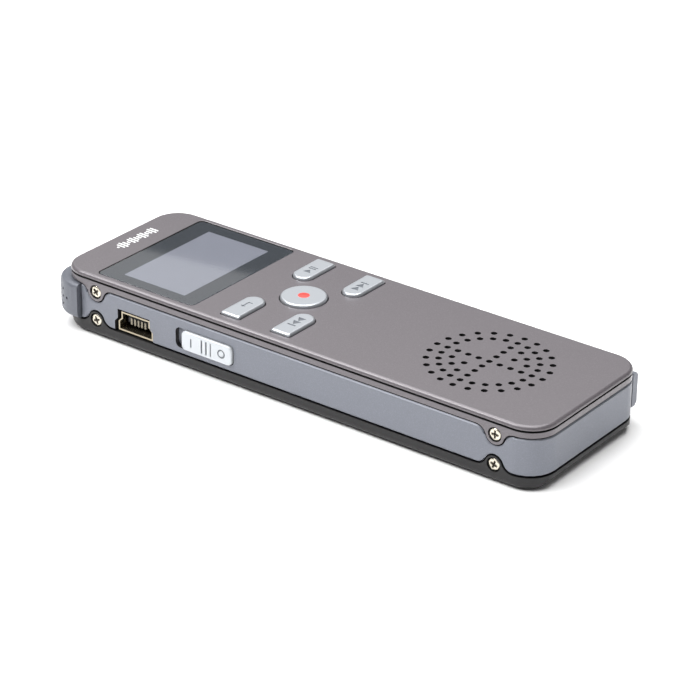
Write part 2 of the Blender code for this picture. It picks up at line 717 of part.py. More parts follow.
def make_frame_supports(frame):
    """Pillars for the side screws, ledges under the board and the backing of the strap pocket."""
    outer = EAR_FLOOR + FIT * 2
    inner = EAR_FLOOR - PILLAR_DEPTH
    low = REAR_PLATE + PILLAR_CLEARANCE
    high = PLATE_UNDER - PILLAR_CLEARANCE
    for side in (-1, 1):
        hand = "left" if side < 0 else "right"
        for y in (-SCREW_Y, SCREW_Y):
            near, far = sorted((side * inner, side * outer))
            tag = f"join_pillar_{hand}_{'near' if y < 0 else 'far'}"
            join(frame, box(tag, (near, y - PILLAR_WIDTH / 2, low), (far, y + PILLAR_WIDTH / 2, high)))
        for y in (LEDGE_NEAR, LEDGE_FAR):
            near, far = sorted((side * (FRAME_INSIDE - LEDGE_REACH), side * (FRAME_INSIDE + LAP)))
            top = BOARD_UNDER - SEAM_GAP
            tag = f"join_ledge_{hand}_{'near' if y < 0 else 'far'}"
            join(
                frame,
                box(tag, (near, y - LEDGE_LENGTH / 2, top - LEDGE_HEIGHT), (far, y + LEDGE_LENGTH / 2, top)),
            )
    backing_out = BAR_INSIDE - STRAP_POCKET_DEPTH + LAP
    join(
        frame,
        box(
            "join_strap_backing",
            (backing_out - BACKING_DEPTH - LAP, BAR_Y - BAR_LENGTH / 2, FRAME_BOTTOM + BACKING_INSET),
            (backing_out, LAP - SCREW_Y - PILLAR_WIDTH / 2, FRAME_TOP - BACKING_INSET),
        ),
    )


def make_side_openings(frame):
    """The notch for the USB socket, and the recess and slot of the power slide."""
    notch = [(y + USB_NOTCH_SHIFT, z) for y, z in usb_outline(USB_NOTCH_GAP)]
    floor = FRAME_BOTTOM - PAST
    lowest = min(z for _, z in notch)
    outline = [(y, floor if z == lowest else z) for y, z in notch]
    cut(frame, flat("cut_usb_notch", outline, -SIDE - PAST, -FRAME_INSIDE + PAST, along="X"))

    middle = (SLIDE_SLOT_NEAR + SLIDE_SLOT_FAR) / 2
    half = (SLIDE_SLOT_FAR - SLIDE_SLOT_NEAR) / 2
    rim = rounded_outline(half, SLIDE_SLOT_HEIGHT / 2, SLIDE_SLOT_CORNER)
    rim = [(middle + y, SLIDE_Z + z) for y, z in rim]
    cut(frame, flat("cut_slide_recess", rim, -SIDE - PAST, SLIDE_RECESS - SIDE, along="X"))
    near = KNOB_MIDDLE - STEM_LENGTH / 2 - RUNNING_FIT
    far = KNOB_MIDDLE + STEM_LENGTH / 2 + SLIDE_TRAVEL + RUNNING_FIT
    tall = STEM_HEIGHT / 2 + RUNNING_FIT
    slot_end = PAST - FRAME_INSIDE
    slot = box("cut_slide_slot", (-SIDE - PAST, near, SLIDE_Z - tall), (slot_end, far, SLIDE_Z + tall))
    cut(frame, slot)


def make_mic_end(frame):
    """The seat under the microphone cap, the sound ports and the opening for the jack."""
    seat = box(
        "cut_cap_seat", (-FAR, CAP_START - CAP_STEP_GAP, -PAST), (FAR, FAR, TOP + PAST)
    )
    cut(seat, body_box("keep_cap_seat", CAP_SEAT, -2 * PAST, TOP + 2 * PAST))
    cut(frame, seat)
    for side in (-1, 1):
        inside = corner_point(side, 0.0)
        outside = corner_point(side, BODY_CORNER + PAST)
        tag = "cut_mic_port_left" if side < 0 else "cut_mic_port_right"
        cut(frame, rod(tag, MIC_PORT_RADIUS, inside, outside))
    nose = JACK_NOSE_RADIUS + FIT
    start = (JACK_X, END - FRAME_WALL - PAST, FRAME_MIDDLE)
    cut(frame, rod("cut_jack_port", nose, start, (JACK_X, END + PAST, FRAME_MIDDLE), steps=24))


def corner_point(side, reach):
    """A point on the diagonal of a microphone corner, reach out from the corner's centre."""
    step = reach * math.sqrt(0.5)
    return (side * (SIDE - BODY_CORNER + step), END - BODY_CORNER + step, FRAME_MIDDLE)


def make_strap_pocket(frame):
    """A pocket behind the lanyard bar for a strap, and the two seats of the bar's feet."""
    near = BAR_Y - BAR_LENGTH / 2 - FIT
    far = BAR_Y + BAR_LENGTH / 2
    half = BAR_HEIGHT / 2 - BAR_FOOT
    floor = BAR_INSIDE - STRAP_POCKET_DEPTH
    pocket = box(
        "cut_strap_pocket",
        (floor, near, FRAME_MIDDLE - half),
        (SIDE + PAST, far + STRAP_POCKET_EXTRA, FRAME_MIDDLE + half),
    )
    tall = BAR_HEIGHT / 2 - BAR_FOOT / 4 + FIT
    seat = box(
        "cut_bar_seat",
        (BAR_INSIDE - BAR_FOOT - FIT, near, FRAME_MIDDLE - tall),
        (SIDE + PAST, far + FIT, FRAME_MIDDLE + tall),
    )
    clear = box(
        "cut_bar_clearance",
        (BAR_INSIDE - FIT, near, FRAME_BOTTOM - PAST), (SIDE + PAST, far + FIT, FRAME_TOP + PAST),
    )
    cut(frame, pocket, seat, clear)


def make_mic_cap(material):
    cap = box(
        "mic_cap",
        (-SIDE - CAP_PROUD, CAP_START - 3 * CAP_CORNER, FRAME_BOTTOM),
        (SIDE + CAP_PROUD, END + CAP_OVERHANG, FRAME_TOP),
        material,
        corner=CAP_CORNER, top=CAP_CHAMFER, bottom=CAP_CHAMFER, corner_steps=8,
    )
    behind = box("cut_cap_behind", (-FAR, -FAR, -PAST), (FAR, CAP_START, TOP + PAST))
    inside = body_box("cut_cap_inside", CAP_SEAT - FIT, -PAST, TOP + PAST)
    runs = []
    for side in (-1, 1):
        centre_x = side * (SIDE + CAP_PROUD - CAP_CORNER)
        centre_y = END + CAP_OVERHANG - CAP_CORNER
        for column, count in enumerate(MIC_HOLES):
            angle = math.radians(MIC_COLUMN_ANGLE * (column + 1))
            out = (side * math.cos(angle), math.sin(angle))
            for i in range(count):
                z = FRAME_MIDDLE + (i - (count - 1) / 2) * MIC_HOLE_PITCH
                ends = (CAP_CORNER - MIC_HOLE_REACH, CAP_CORNER + PAST)
                runs.append([(centre_x + out[0] * r, centre_y + out[1] * r, z) for r in ends])
    nose = JACK_NOSE_RADIUS + FIT
    start = (JACK_X, END - CAP_SEAT - PAST, FRAME_MIDDLE)
    jack = rod("cut_cap_jack", nose, start, (JACK_X, END + CAP_OVERHANG + PAST, FRAME_MIDDLE), steps=24)
    cut(cap, behind, inside, rods("cut_mic_holes", MIC_HOLE_RADIUS, runs, steps=6), jack)


def make_lanyard_bar(material):
    low = FRAME_MIDDLE - BAR_HEIGHT / 2
    high = FRAME_MIDDLE + BAR_HEIGHT / 2
    near = BAR_Y - BAR_LENGTH / 2
    far = BAR_Y + BAR_LENGTH / 2
    outer = BAR_INSIDE + BAR_THICKNESS
    profile = [
        (BAR_INSIDE, low), (outer - BAR_CHAMFER, low), (outer, low + BAR_CHAMFER),
        (outer, high - BAR_CHAMFER), (outer - BAR_CHAMFER, high), (BAR_INSIDE, high),
    ]
    bar = flat("lanyard_bar", profile, near, far, along="Y", material=material)
    foot_high = BAR_HEIGHT / 2 - BAR_FOOT / 4
    foot_low = foot_high - BAR_FOOT * 0.75
    for tag, sign in (("upper", 1), ("lower", -1)):
        low_z, high_z = sorted((FRAME_MIDDLE + sign * foot_low, FRAME_MIDDLE + sign * foot_high))
        foot = box(
            "join_bar_foot_" + tag,
            (BAR_INSIDE - BAR_FOOT, near + FIT, low_z), (BAR_INSIDE + LAP, far - FIT, high_z),
        )
        join(bar, foot)


# ---- Screws -----------------------------------------------------------------------------------------
def make_screws(material):
    """Eight cross-head screws that share one mesh, which points along +X with its head top at x = 0."""
    head = SCREW_HEAD_HEIGHT
    radius = SCREW_HEAD_RADIUS
    shank = SCREW_SHANK_RADIUS
    profile = [
        (0, 0), (radius * 0.7, -SCREW_CROWN / 6), (radius, -SCREW_CROWN), (radius, -head),
        (shank, -head), (shank, -SCREW_LENGTH + shank), (shank / 2, -SCREW_LENGTH), (0, -SCREW_LENGTH),
    ]
    pattern = turned("screw_pattern", profile, (0, 0, 0), steps=12)
    long = SCREW_CROSS_SPAN / 2
    thin = SCREW_CROSS_WIDTH / 2
    cut(
        pattern,
        box("cut_cross_a", (-long, -thin, -SCREW_CROSS_DEPTH), (long, thin, 1)),
        box("cut_cross_b", (-thin, -long, -SCREW_CROSS_DEPTH), (thin, long, 1)),
    )
    bm = mesh_from(pattern)
    bmesh.ops.rotate(bm, cent=(0, 0, 0), matrix=Matrix.Rotation(math.radians(90), 3, "Y"), verts=bm.verts)
    first = place("screw_front_right_far", bm, material)
    top = SIDE - SCREW_HEAD_SUNK
    for cover, z in (("front", FRONT_SCREW_Z), ("rear", REAR_SCREW_Z)):
        for hand, side in (("left", -1), ("right", 1)):
            for end, y in (("near", -SCREW_Y), ("far", SCREW_Y)):
                name = f"screw_{cover}_{hand}_{end}"
                screw = first if name == first.name else add_object(name, first.data, material)
                screw.location = (side * top * MM, y * MM, z * MM)
                screw.rotation_euler = (0, 0, 0 if side > 0 else math.pi)


# ---- Display ----------------------------------------------------------------------------------------
def make_display(glass, adhesive, lcd, light, copper):
    wide, long = (size / 2 for size in WINDOW_SIZE)
    box(
        "display_window",
        (-wide, WINDOW_Y - long, WINDOW_UNDER), (wide, WINDOW_Y + long, TOP - WINDOW_SUNK),
        glass, corner=WINDOW_CORNER,
    )
    tape_top = WINDOW_UNDER - ADHESIVE_FIT
    tape_low = tape_top - ADHESIVE_THICKNESS
    tape = box(
        "window_adhesive",
        (-wide + FIT, WINDOW_Y - long + FIT, tape_low), (wide - FIT, WINDOW_Y + long - FIT, tape_top),
        adhesive, corner=WINDOW_CORNER,
    )
    inset = WINDOW_LEDGE
    hole = box(
        "cut_tape",
        (inset - wide, WINDOW_Y + inset - long, tape_low - PAST),
        (wide - inset, WINDOW_Y + long - inset, tape_top + PAST),
        corner=WINDOW_CORNER,
    )
    cut(tape, hole)

    half_x, half_y = (size / 2 for size in LCD_SIZE)
    under = LCD_TOP - LCD_THICKNESS
    near = LCD_Y - half_y
    box("lcd_panel", (-half_x, near, under), (half_x, LCD_Y + half_y, LCD_TOP), lcd)
    guide_top = under - FIT / 2
    box(
        "lcd_backlight",
        (-half_x, near, guide_top - BACKLIGHT_THICKNESS), (half_x, LCD_Y + half_y, guide_top), light,
    )
    top = under + LCD_THICKNESS / 2
    low = BOARD_TOP + PART_GAP
    sheet = FLEX_THICKNESS
    edge = near - FIT
    profile = [
        (edge, top), (edge - FLEX_REACH, top), (edge - FLEX_REACH, low), (edge - FLEX_REACH * 2, low),
        (edge - FLEX_REACH * 2, low + sheet), (edge - FLEX_REACH - sheet, low + sheet),
        (edge - FLEX_REACH - sheet, top + sheet), (edge, top + sheet),
    ]
    flat("lcd_flex", profile, -FLEX_WIDTH / 2, FLEX_WIDTH / 2, along="X", material=copper)


# ---- Keypad -----------------------------------------------------------------------------------------
def make_keypad(key, red, rubber, steel):
    keys = []
    for name, side, row in SIDE_KEYS:
        outline = side_key_outline(side, row, FIT)
        cap = flat(name, outline, FLANGE_UNDER + LAP / 2, TOP + KEY_RISE, material=key, top=KEY_ROUND)
        wider = side_key_outline(side, row, FIT - KEY_FLANGE)
        flange = flat("join_flange_" + name, wider, FLANGE_UNDER, FLANGE_TOP)
        x = side * (KEY_OUTER_X - KEY_LENGTH / 2)
        join(cap, flange, plunger(name, x, row))
        keys.append((cap, x, row))
    radius = RECORD_RADIUS - FIT
    rise = TOP + KEY_RISE
    profile = [
        (0, rise), (radius - KEY_ROUND, rise), (radius - KEY_ROUND * 0.3, rise - KEY_ROUND * 0.3),
        (radius, rise - KEY_ROUND), (radius, FLANGE_TOP), (radius + KEY_FLANGE, FLANGE_TOP),
        (radius + KEY_FLANGE, FLANGE_UNDER), (0, FLANGE_UNDER),
    ]
    record = turned("key_record", profile, (0, KEYPAD_Y, 0), key)
    dot_hole = rod(
        "cut_record_dot", DOT_RADIUS + DOT_FIT, (0, KEYPAD_Y, rise - DOT_DEPTH), (0, KEYPAD_Y, rise + PAST)
    )
    join(record, plunger("key_record", 0, KEYPAD_Y))
    cut(record, dot_hole)
    keys.append((record, 0, KEYPAD_Y))
    dot_low = rise - DOT_DEPTH + DOT_FIT
    rod("record_dot", DOT_RADIUS, (0, KEYPAD_Y, dot_low), (0, KEYPAD_Y, rise + DOT_PROUD), red)
    set_origin(bpy.data.objects["record_dot"], (0, KEYPAD_Y, rise))

    half_x = FRAME_INSIDE - BOARD_SIDE_GAP
    half_y = (KEY_ROW_PITCH + KEY_WIDTH) / 2 + MEMBRANE_MARGIN
    box(
        "keypad_membrane",
        (-half_x, KEYPAD_Y - half_y, MEMBRANE_TOP - MEMBRANE_THICKNESS),
        (half_x, KEYPAD_Y + half_y, MEMBRANE_TOP), rubber, corner=MEMBRANE_CORNER, corner_steps=3,
    )
    for obj, x, y in keys:
        dome = [
            (0, DOME_HEIGHT), (DOME_RADIUS * 0.6, DOME_HEIGHT * 0.75), (DOME_RADIUS, DOME_SHEET),
            (DOME_RADIUS, 0), (DOME_RADIUS * 0.6, DOME_HEIGHT * 0.75 - DOME_SHEET),
            (0, DOME_HEIGHT - DOME_SHEET),
        ]
        turned("dome_" + obj.name[4:], dome, (x, y, BOARD_TOP + DOME_GAP), steel, steps=12)
        set_origin(obj, (x, y, TOP))


def plunger(name, x, y):
    start = (x, y, PLUNGER_END)
    return rod("join_plunger_" + name, PLUNGER_RADIUS, start, (x, y, FLANGE_UNDER + LAP), steps=12)


# ---- Speaker ----------------------------------------------------------------------------------------
def make_speaker(steel, magnet, paper, foam, cloth, copper):
    centre = (0, SPEAKER_Y, 0)
    cloth_top = PLATE_UNDER - STACK_GAP
    cloth_low = cloth_top - CLOTH_THICKNESS
    low_end = (0, SPEAKER_Y, cloth_low)
    rod("speaker_cloth", SPEAKER_RADIUS, low_end, (0, SPEAKER_Y, cloth_top), cloth, steps=32)
    gasket_top = cloth_low - STACK_GAP
    gasket_low = gasket_top - GASKET_THICKNESS
    inner = SPEAKER_RADIUS - GASKET_WIDTH
    section = [
        (inner, gasket_top), (SPEAKER_RADIUS, gasket_top), (SPEAKER_RADIUS, gasket_low), (inner, gasket_low),
    ]
    turned("speaker_gasket", section, centre, foam, closed=True)

    rim = gasket_low - STACK_GAP
    base = rim - SPEAKER_DEPTH
    inside = SPEAKER_RADIUS - SPEAKER_WALL
    basket = [
        (inside, rim), (SPEAKER_RADIUS, rim), (SPEAKER_RADIUS, base + SPEAKER_DEPTH / 2),
        (BASKET_FOOT, base), (BASKET_HOLE, base), (BASKET_HOLE, base + SPEAKER_WALL),
        (BASKET_FOOT, base + SPEAKER_WALL), (inside, base + SPEAKER_DEPTH / 2 + SPEAKER_WALL),
    ]
    turned("speaker_frame", basket, centre, steel, closed=True)
    magnet_top = base - STACK_GAP
    rod(
        "speaker_magnet", MAGNET_RADIUS,
        (0, SPEAKER_Y, magnet_top - MAGNET_HEIGHT), (0, SPEAKER_Y, magnet_top), magnet, steps=24,
    )
    edge = inside - FIT
    high = rim - STACK_GAP
    low = high - CONE_DEPTH
    dome = high - CONE_DEPTH / 3
    upper = [
        (0, dome), (COIL_RADIUS * 0.6, dome - DOME_DROP), (COIL_RADIUS, low),
        (edge - CONE_SURROUND, high - SURROUND_DROP), (edge, high),
    ]
    lower = [(radius, z - CONE_SHEET) for radius, z in reversed(upper)]
    turned("speaker_cone", upper + lower, centre, paper)
    coil_top = low - CONE_SHEET - STACK_GAP
    coil_low = base + SPEAKER_WALL + STACK_GAP
    coil = [
        (COIL_RADIUS - COIL_WALL, coil_top), (COIL_RADIUS, coil_top),
        (COIL_RADIUS, coil_low), (COIL_RADIUS - COIL_WALL, coil_low),
    ]
    turned("voice_coil", coil, centre, copper, steps=24, closed=True)


# ---- Board, battery and what is on them -------------------------------------------------------------
def make_board(board_green, chip, steel):
    half = FRAME_INSIDE - BOARD_SIDE_GAP
    box("main_board", (-half, BOARD_NEAR, BOARD_UNDER), (half, BOARD_FAR, BOARD_TOP), board_green)
    seat = BOARD_TOP + PART_GAP
    for name, (x, y), (wide, long, tall), material in board_parts(chip, steel):
        box(
            name, (x - wide / 2, y - long / 2, seat), (x + wide / 2, y + long / 2, seat + tall), material,
            corner=0.0 if material is chip else long * CAN_ROUND, corner_steps=3,
        )


def board_parts(chip, steel):
    """Name, centre, size and material of what stands on the board's upper side behind the keypad."""
    return (
        ("processor_chip", (-6.5, -5.5), (7.0, 7.0, 1.0), chip),
        ("memory_chip", (6.0, -9.5), (12.0, 9.0, 1.1), chip),
        ("crystal_can", (-6.5, -13.0), (6.0, 2.4, 1.4), steel),
    )


def make_battery(pouch, foam, board_green):
    wide, long, tall = BATTERY_SIZE
    pad_low = REAR_PLATE + PART_GAP
    pad_top = pad_low + PAD_THICKNESS
    box(
        "battery_pad",
        (BATTERY_X - wide / 3, BATTERY_Y - long / 3, pad_low),
        (BATTERY_X + wide / 3, BATTERY_Y + long / 3, pad_top), foam,
    )
    low = pad_top + PART_GAP
    box(
        "battery_cell",
        (BATTERY_X - wide / 2, BATTERY_Y - long / 2, low),
        (BATTERY_X + wide / 2, BATTERY_Y + long / 2, low + tall),
        pouch, corner=BATTERY_CORNER, top=BATTERY_ROUND, bottom=BATTERY_ROUND, corner_steps=4, edge_steps=1,
    )
    guard_wide, guard_long, guard_tall = GUARD_SIZE
    near = BATTERY_Y + long / 2 + SEAM_GAP
    middle = low + tall / 2
    box(
        "battery_guard_board",
        (BATTERY_X - guard_wide / 2, near, middle - guard_tall / 2),
        (BATTERY_X + guard_wide / 2, near + guard_long, middle + guard_tall / 2), board_green,
    )


# ---- USB socket -------------------------------------------------------------------------------------
def make_usb(steel, plastic, gold):
    back = USB_MOUTH + USB_LENGTH
    shell = flat("usb_shell", usb_outline(0.0), USB_MOUTH, back, along="X", material=steel)
    bore = usb_outline(-USB_SHEET)
    cut(shell, flat("cut_usb_bore", bore, USB_MOUTH - PAST, back + PAST, along="X"))

    roof = USB_ROOF - USB_SHEET
    top = roof - TONGUE_DROP
    low = top - TONGUE_HEIGHT
    half = TONGUE_WIDTH / 2
    front = USB_MOUTH + TONGUE_SUNK
    base = back - USB_BLOCK_LENGTH
    block = usb_outline(-USB_SHEET - USB_BLOCK_FIT)
    tongue = flat("usb_tongue", block, base, back, along="X", material=plastic)
    join(tongue, box("join_tongue", (front, USB_Y - half, low), (base + LAP, USB_Y + half, top)))
    for i in range(CONTACTS):
        y = USB_Y + (i - (CONTACTS - 1) / 2) * CONTACT_PITCH
        under = low - CONTACT_FIT
        face = front - CONTACT_FIT
        profile = [
            (face - CONTACT_SHEET, under - CONTACT_SHEET), (face + CONTACT_LENGTH, under - CONTACT_SHEET),
            (face + CONTACT_LENGTH, under), (face, under),
            (face, top - CONTACT_LIP), (face - CONTACT_SHEET, top - CONTACT_LIP),
        ]
        flat(
            f"usb_contact_{i + 1}", profile, y - CONTACT_WIDTH / 2, y + CONTACT_WIDTH / 2,
            along="Y", material=gold,
        )


# ---- Power slide ------------------------------------------------------------------------------------
def make_power_slide(key, plastic, steel):
    floor = SLIDE_RECESS - SIDE
    inner = floor - RUNNING_FIT
    outer = -SIDE - KNOB_PROUD
    half_z = SLIDE_SLOT_HEIGHT / 2 - KNOB_HEIGHT_GAP
    rim = rounded_outline(KNOB_LENGTH / 2, half_z, SLIDE_SLOT_CORNER - KNOB_HEIGHT_GAP)
    rim = [(KNOB_MIDDLE + y, SLIDE_Z + z) for y, z in rim]
    bm = flat_mesh("power_knob", rim, outer, inner, along="X")
    edges = [e for e in bm.edges if all(v.co.x < outer + 1e-3 for v in e.verts)]
    edges = [e for e in edges if e.calc_face_angle(0) > 1]
    round_edges(bm, edges, KNOB_ROUND, EDGE_STEPS)
    knob = place("power_knob", bm, key)
    stem_end = SWITCH_FACE - RUNNING_FIT
    stem = box(
        "join_stem",
        (inner - LAP, KNOB_MIDDLE - STEM_LENGTH / 2, SLIDE_Z - STEM_HEIGHT / 2),
        (stem_end, KNOB_MIDDLE + STEM_LENGTH / 2, SLIDE_Z + STEM_HEIGHT / 2),
    )
    join(knob, stem)
    reach = LEVER_LENGTH / 2 + PART_GAP
    fork = box(
        "cut_stem_fork",
        (stem_end - LEVER_IN_STEM - PART_GAP, KNOB_MIDDLE - reach, SLIDE_Z - STEM_HEIGHT),
        (stem_end + PAST, KNOB_MIDDLE + reach, SLIDE_Z + STEM_HEIGHT),
    )
    cut(knob, fork)
    for i in range(KNOB_GRIP_GROOVES):
        y = KNOB_MIDDLE + (i - (KNOB_GRIP_GROOVES - 1) / 2) * KNOB_GRIP_PITCH
        groove = box(
            f"cut_grip_{i + 1}",
            (outer - PAST, y - KNOB_GRIP_WIDTH / 2, SLIDE_Z - half_z * KNOB_GRIP_SPAN),
            (outer + KNOB_GRIP_DEPTH, y + KNOB_GRIP_WIDTH / 2, SLIDE_Z + half_z * KNOB_GRIP_SPAN),
        )
        cut(knob, groove)
    set_origin(knob, (-SIDE, KNOB_MIDDLE, SLIDE_Z))

    deep, long, tall = SWITCH_BODY
    middle = KNOB_MIDDLE + SLIDE_TRAVEL / 2
    body = box(
        "switch_body",
        (SWITCH_FACE, middle - long / 2, SLIDE_Z - tall / 2),
        (SWITCH_FACE + deep, middle + long / 2, SLIDE_Z + tall / 2),
        plastic,
    )
    reach = (LEVER_LENGTH + SLIDE_TRAVEL) / 2 + RUNNING_FIT
    high = LEVER_HEIGHT / 2 + RUNNING_FIT
    window = box(
        "cut_switch_window",
        (SWITCH_FACE - PAST, middle - reach, SLIDE_Z - high),
        (SWITCH_FACE + SWITCH_WINDOW_DEPTH, middle + reach, SLIDE_Z + high),
    )
    cut(body, window)
    tip = SWITCH_FACE + SWITCH_WINDOW_DEPTH - RUNNING_FIT
    lever = box(
        "switch_lever",
        (stem_end - LEVER_IN_STEM, KNOB_MIDDLE - LEVER_LENGTH / 2, SLIDE_Z - LEVER_HEIGHT / 2),
        (tip, KNOB_MIDDLE + LEVER_LENGTH / 2, SLIDE_Z + LEVER_HEIGHT / 2),
        steel,
    )
    set_origin(lever, (-SIDE, KNOB_MIDDLE, SLIDE_Z))


# ---- Microphones and earphone jack ------------------------------------------------------------------
def make_microphones(steel, rubber):
    for hand, side in (("left", -1), ("right", 1)):
        start = corner_point(side, MIC_OFFSET - MIC_LENGTH / 2)
        end = corner_point(side, MIC_OFFSET + MIC_LENGTH / 2)
        rod("mic_capsule_" + hand, MIC_RADIUS, start, end, steel)
        start = corner_point(side, MIC_OFFSET - MIC_BOOT_LENGTH / 2)
        end = corner_point(side, MIC_OFFSET + MIC_BOOT_LENGTH / 2)
        boot = rod("mic_boot_" + hand, MIC_RADIUS + PART_GAP + MIC_BOOT_WALL, start, end, rubber)
        start = corner_point(side, MIC_OFFSET - MIC_BOOT_LENGTH)
        end = corner_point(side, MIC_OFFSET + MIC_BOOT_LENGTH)
        cut(boot, rod("cut_boot_" + hand, MIC_RADIUS + PART_GAP, start, end))


def make_jack(plastic):
    wide, long, tall = JACK_BODY
    tip = END + CAP_OVERHANG - JACK_NOSE_SUNK
    jack = box(
        "earphone_jack",
        (JACK_X - wide / 2, JACK_FRONT - long, FRAME_MIDDLE - tall / 2),
        (JACK_X + wide / 2, JACK_FRONT, FRAME_MIDDLE + tall / 2), plastic,
    )
    start = (JACK_X, JACK_FRONT - 1, FRAME_MIDDLE)
    nose = rod("join_jack_nose", JACK_NOSE_RADIUS, start, (JACK_X, tip, FRAME_MIDDLE), steps=24)
    join(jack, nose)
    end = (JACK_X, tip - JACK_BORE_DEPTH, FRAME_MIDDLE)
    cut(jack, rod("cut_jack_bore", JACK_BORE_RADIUS, end, (JACK_X, tip + PAST, FRAME_MIDDLE), steps=24))


# ---- The whole recorder -----------------------------------------------------------------------------
def make_recorder():
    gunmetal = finish("gunmetal_lacquer", (0.26, 0.25, 0.26), 0.38, 0.55)
    silver = finish("silver_lacquer", (0.36, 0.38, 0.42), 0.42, 0.5)
    bright = finish("bright_chrome", (0.78, 0.80, 0.84), 0.2, 0.9)
    glass = finish("smoked_acrylic", (0.04, 0.045, 0.055), 0.08)
    lcd = finish("lcd_glass", (0.42, 0.43, 0.46), 0.25)
    light = finish("light_guide", (0.85, 0.86, 0.84), 0.4)
    red = finish("red_enamel", (0.78, 0.05, 0.03), 0.35)
    steel = finish("nickel_steel", (0.62, 0.60, 0.55), 0.3, 0.95)
    gold = finish("gold_plate", (0.83, 0.62, 0.30), 0.25, 1.0)
    copper = finish("copper_foil", (0.72, 0.38, 0.16), 0.4, 0.8)
    black = finish("black_plastic", (0.02, 0.02, 0.022), 0.5)
    rubber = finish("grey_rubber", (0.12, 0.12, 0.13), 0.8)
    foam = finish("black_foam", (0.03, 0.03, 0.03), 0.95)
    cloth = finish("black_cloth", (0.015, 0.015, 0.018), 0.9)
    paper = finish("cone_film", (0.20, 0.19, 0.17), 0.6)
    magnet = finish("magnet_plate", (0.45, 0.45, 0.47), 0.35, 0.9)
    green = finish("green_board", (0.02, 0.16, 0.06), 0.45)
    pouch = finish("battery_foil", (0.55, 0.56, 0.58), 0.35, 0.6)

    make_front_cover(gunmetal)
    make_rear_cover(gunmetal)
    make_mid_frame(silver)
    make_mic_cap(silver)
    make_lanyard_bar(silver)
    make_screws(steel)
    make_display(glass, foam, lcd, light, copper)
    make_keypad(bright, red, rubber, steel)
    make_speaker(steel, magnet, paper, foam, cloth, copper)
    make_board(green, black, steel)
    make_battery(pouch, foam, green)
    make_usb(steel, black, gold)
    make_power_slide(bright, black, steel)
    make_microphones(steel, rubber)
    make_jack(black)


clear_scene()
PARTS = new_collection("voice_recorder")
CUTTERS = new_collection("cutters")
make_recorder()
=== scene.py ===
"""Handheld voice recorder in a lacquered metal case, shown lying on its back.

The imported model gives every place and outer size. Each class here takes one sub-assembly, refines the
surfaces that show, adds what is too fine for the model (chamfers, engraved symbols, perforations,
printing) and dresses it. Sizes in the classes are in millimetres, and MM turns them to metres.
"""

from __future__ import annotations

import functools
import json
import logging
import math
from collections.abc import Callable, Iterable, Sequence
from dataclasses import dataclass, field
from enum import Enum

import bmesh
import bpy
from mathutils import Matrix, Vector

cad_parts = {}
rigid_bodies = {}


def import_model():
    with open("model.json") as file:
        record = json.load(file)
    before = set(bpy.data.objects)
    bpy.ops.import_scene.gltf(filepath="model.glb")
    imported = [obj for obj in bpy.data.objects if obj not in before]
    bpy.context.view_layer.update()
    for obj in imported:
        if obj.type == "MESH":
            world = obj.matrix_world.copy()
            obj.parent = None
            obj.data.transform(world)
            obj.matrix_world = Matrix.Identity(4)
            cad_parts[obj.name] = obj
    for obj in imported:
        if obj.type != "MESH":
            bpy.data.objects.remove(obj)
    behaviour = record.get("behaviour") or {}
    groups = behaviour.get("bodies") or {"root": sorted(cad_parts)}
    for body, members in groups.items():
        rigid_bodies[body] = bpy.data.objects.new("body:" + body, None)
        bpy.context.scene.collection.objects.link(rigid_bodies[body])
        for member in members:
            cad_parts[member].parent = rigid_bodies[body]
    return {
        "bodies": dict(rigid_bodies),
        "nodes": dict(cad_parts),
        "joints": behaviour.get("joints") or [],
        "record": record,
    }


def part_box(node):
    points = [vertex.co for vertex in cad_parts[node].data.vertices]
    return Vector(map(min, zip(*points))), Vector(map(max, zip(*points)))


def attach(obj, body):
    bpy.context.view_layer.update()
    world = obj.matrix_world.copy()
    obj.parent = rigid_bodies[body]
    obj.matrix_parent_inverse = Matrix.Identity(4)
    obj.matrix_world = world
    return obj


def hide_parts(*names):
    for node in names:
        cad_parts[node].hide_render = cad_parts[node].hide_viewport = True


MM = 0.001
LOG = logging.getLogger("recorder")

Point = tuple[float, float]
Outline = list[Point]
Links = dict[str | int, object]


# How far a cutter that runs right through the case reaches, in millimetres.
REACH = 40.0
# A face whose normal leans less than this from a direction counts as facing it.
FACING = 0.99


class Along(Enum):
    """The axis that a straight prism runs along."""

    X = "x"
    Y = "y"
    Z = "z"


class Symbol(Enum):
    """What is engraved in a key's top."""

    PLAY_PAUSE = "play_pause"
    FORWARD = "forward"
    BACKWARD = "backward"
    RETURN = "return"


# ---- Colour and nodes -------------------------------------------------------------------------------
def linear(hex_colour: str) -> tuple[float, float, float, float]:
    """Turns an sRGB hex colour to linear light.

    Args:
        hex_colour: Six hex digits, with or without a leading #.

    Returns:
        Red, green, blue and an alpha of 1.
    """
    digits = hex_colour.lstrip("#")
    parts = [int(digits[i : i + 2], 16) / 255 for i in (0, 2, 4)]
    red, green, blue = (p / 12.92 if p <= 0.04045 else ((p + 0.055) / 1.055) ** 2.4 for p in parts)
    return red, green, blue, 1.0


def toned(colour: Sequence[float], factor: float) -> tuple[float, ...]:
    """A linear colour made darker or lighter by a factor, no lighter than white."""
    return tuple(min(1.0, part * factor) for part in colour[:3]) + (1.0,)


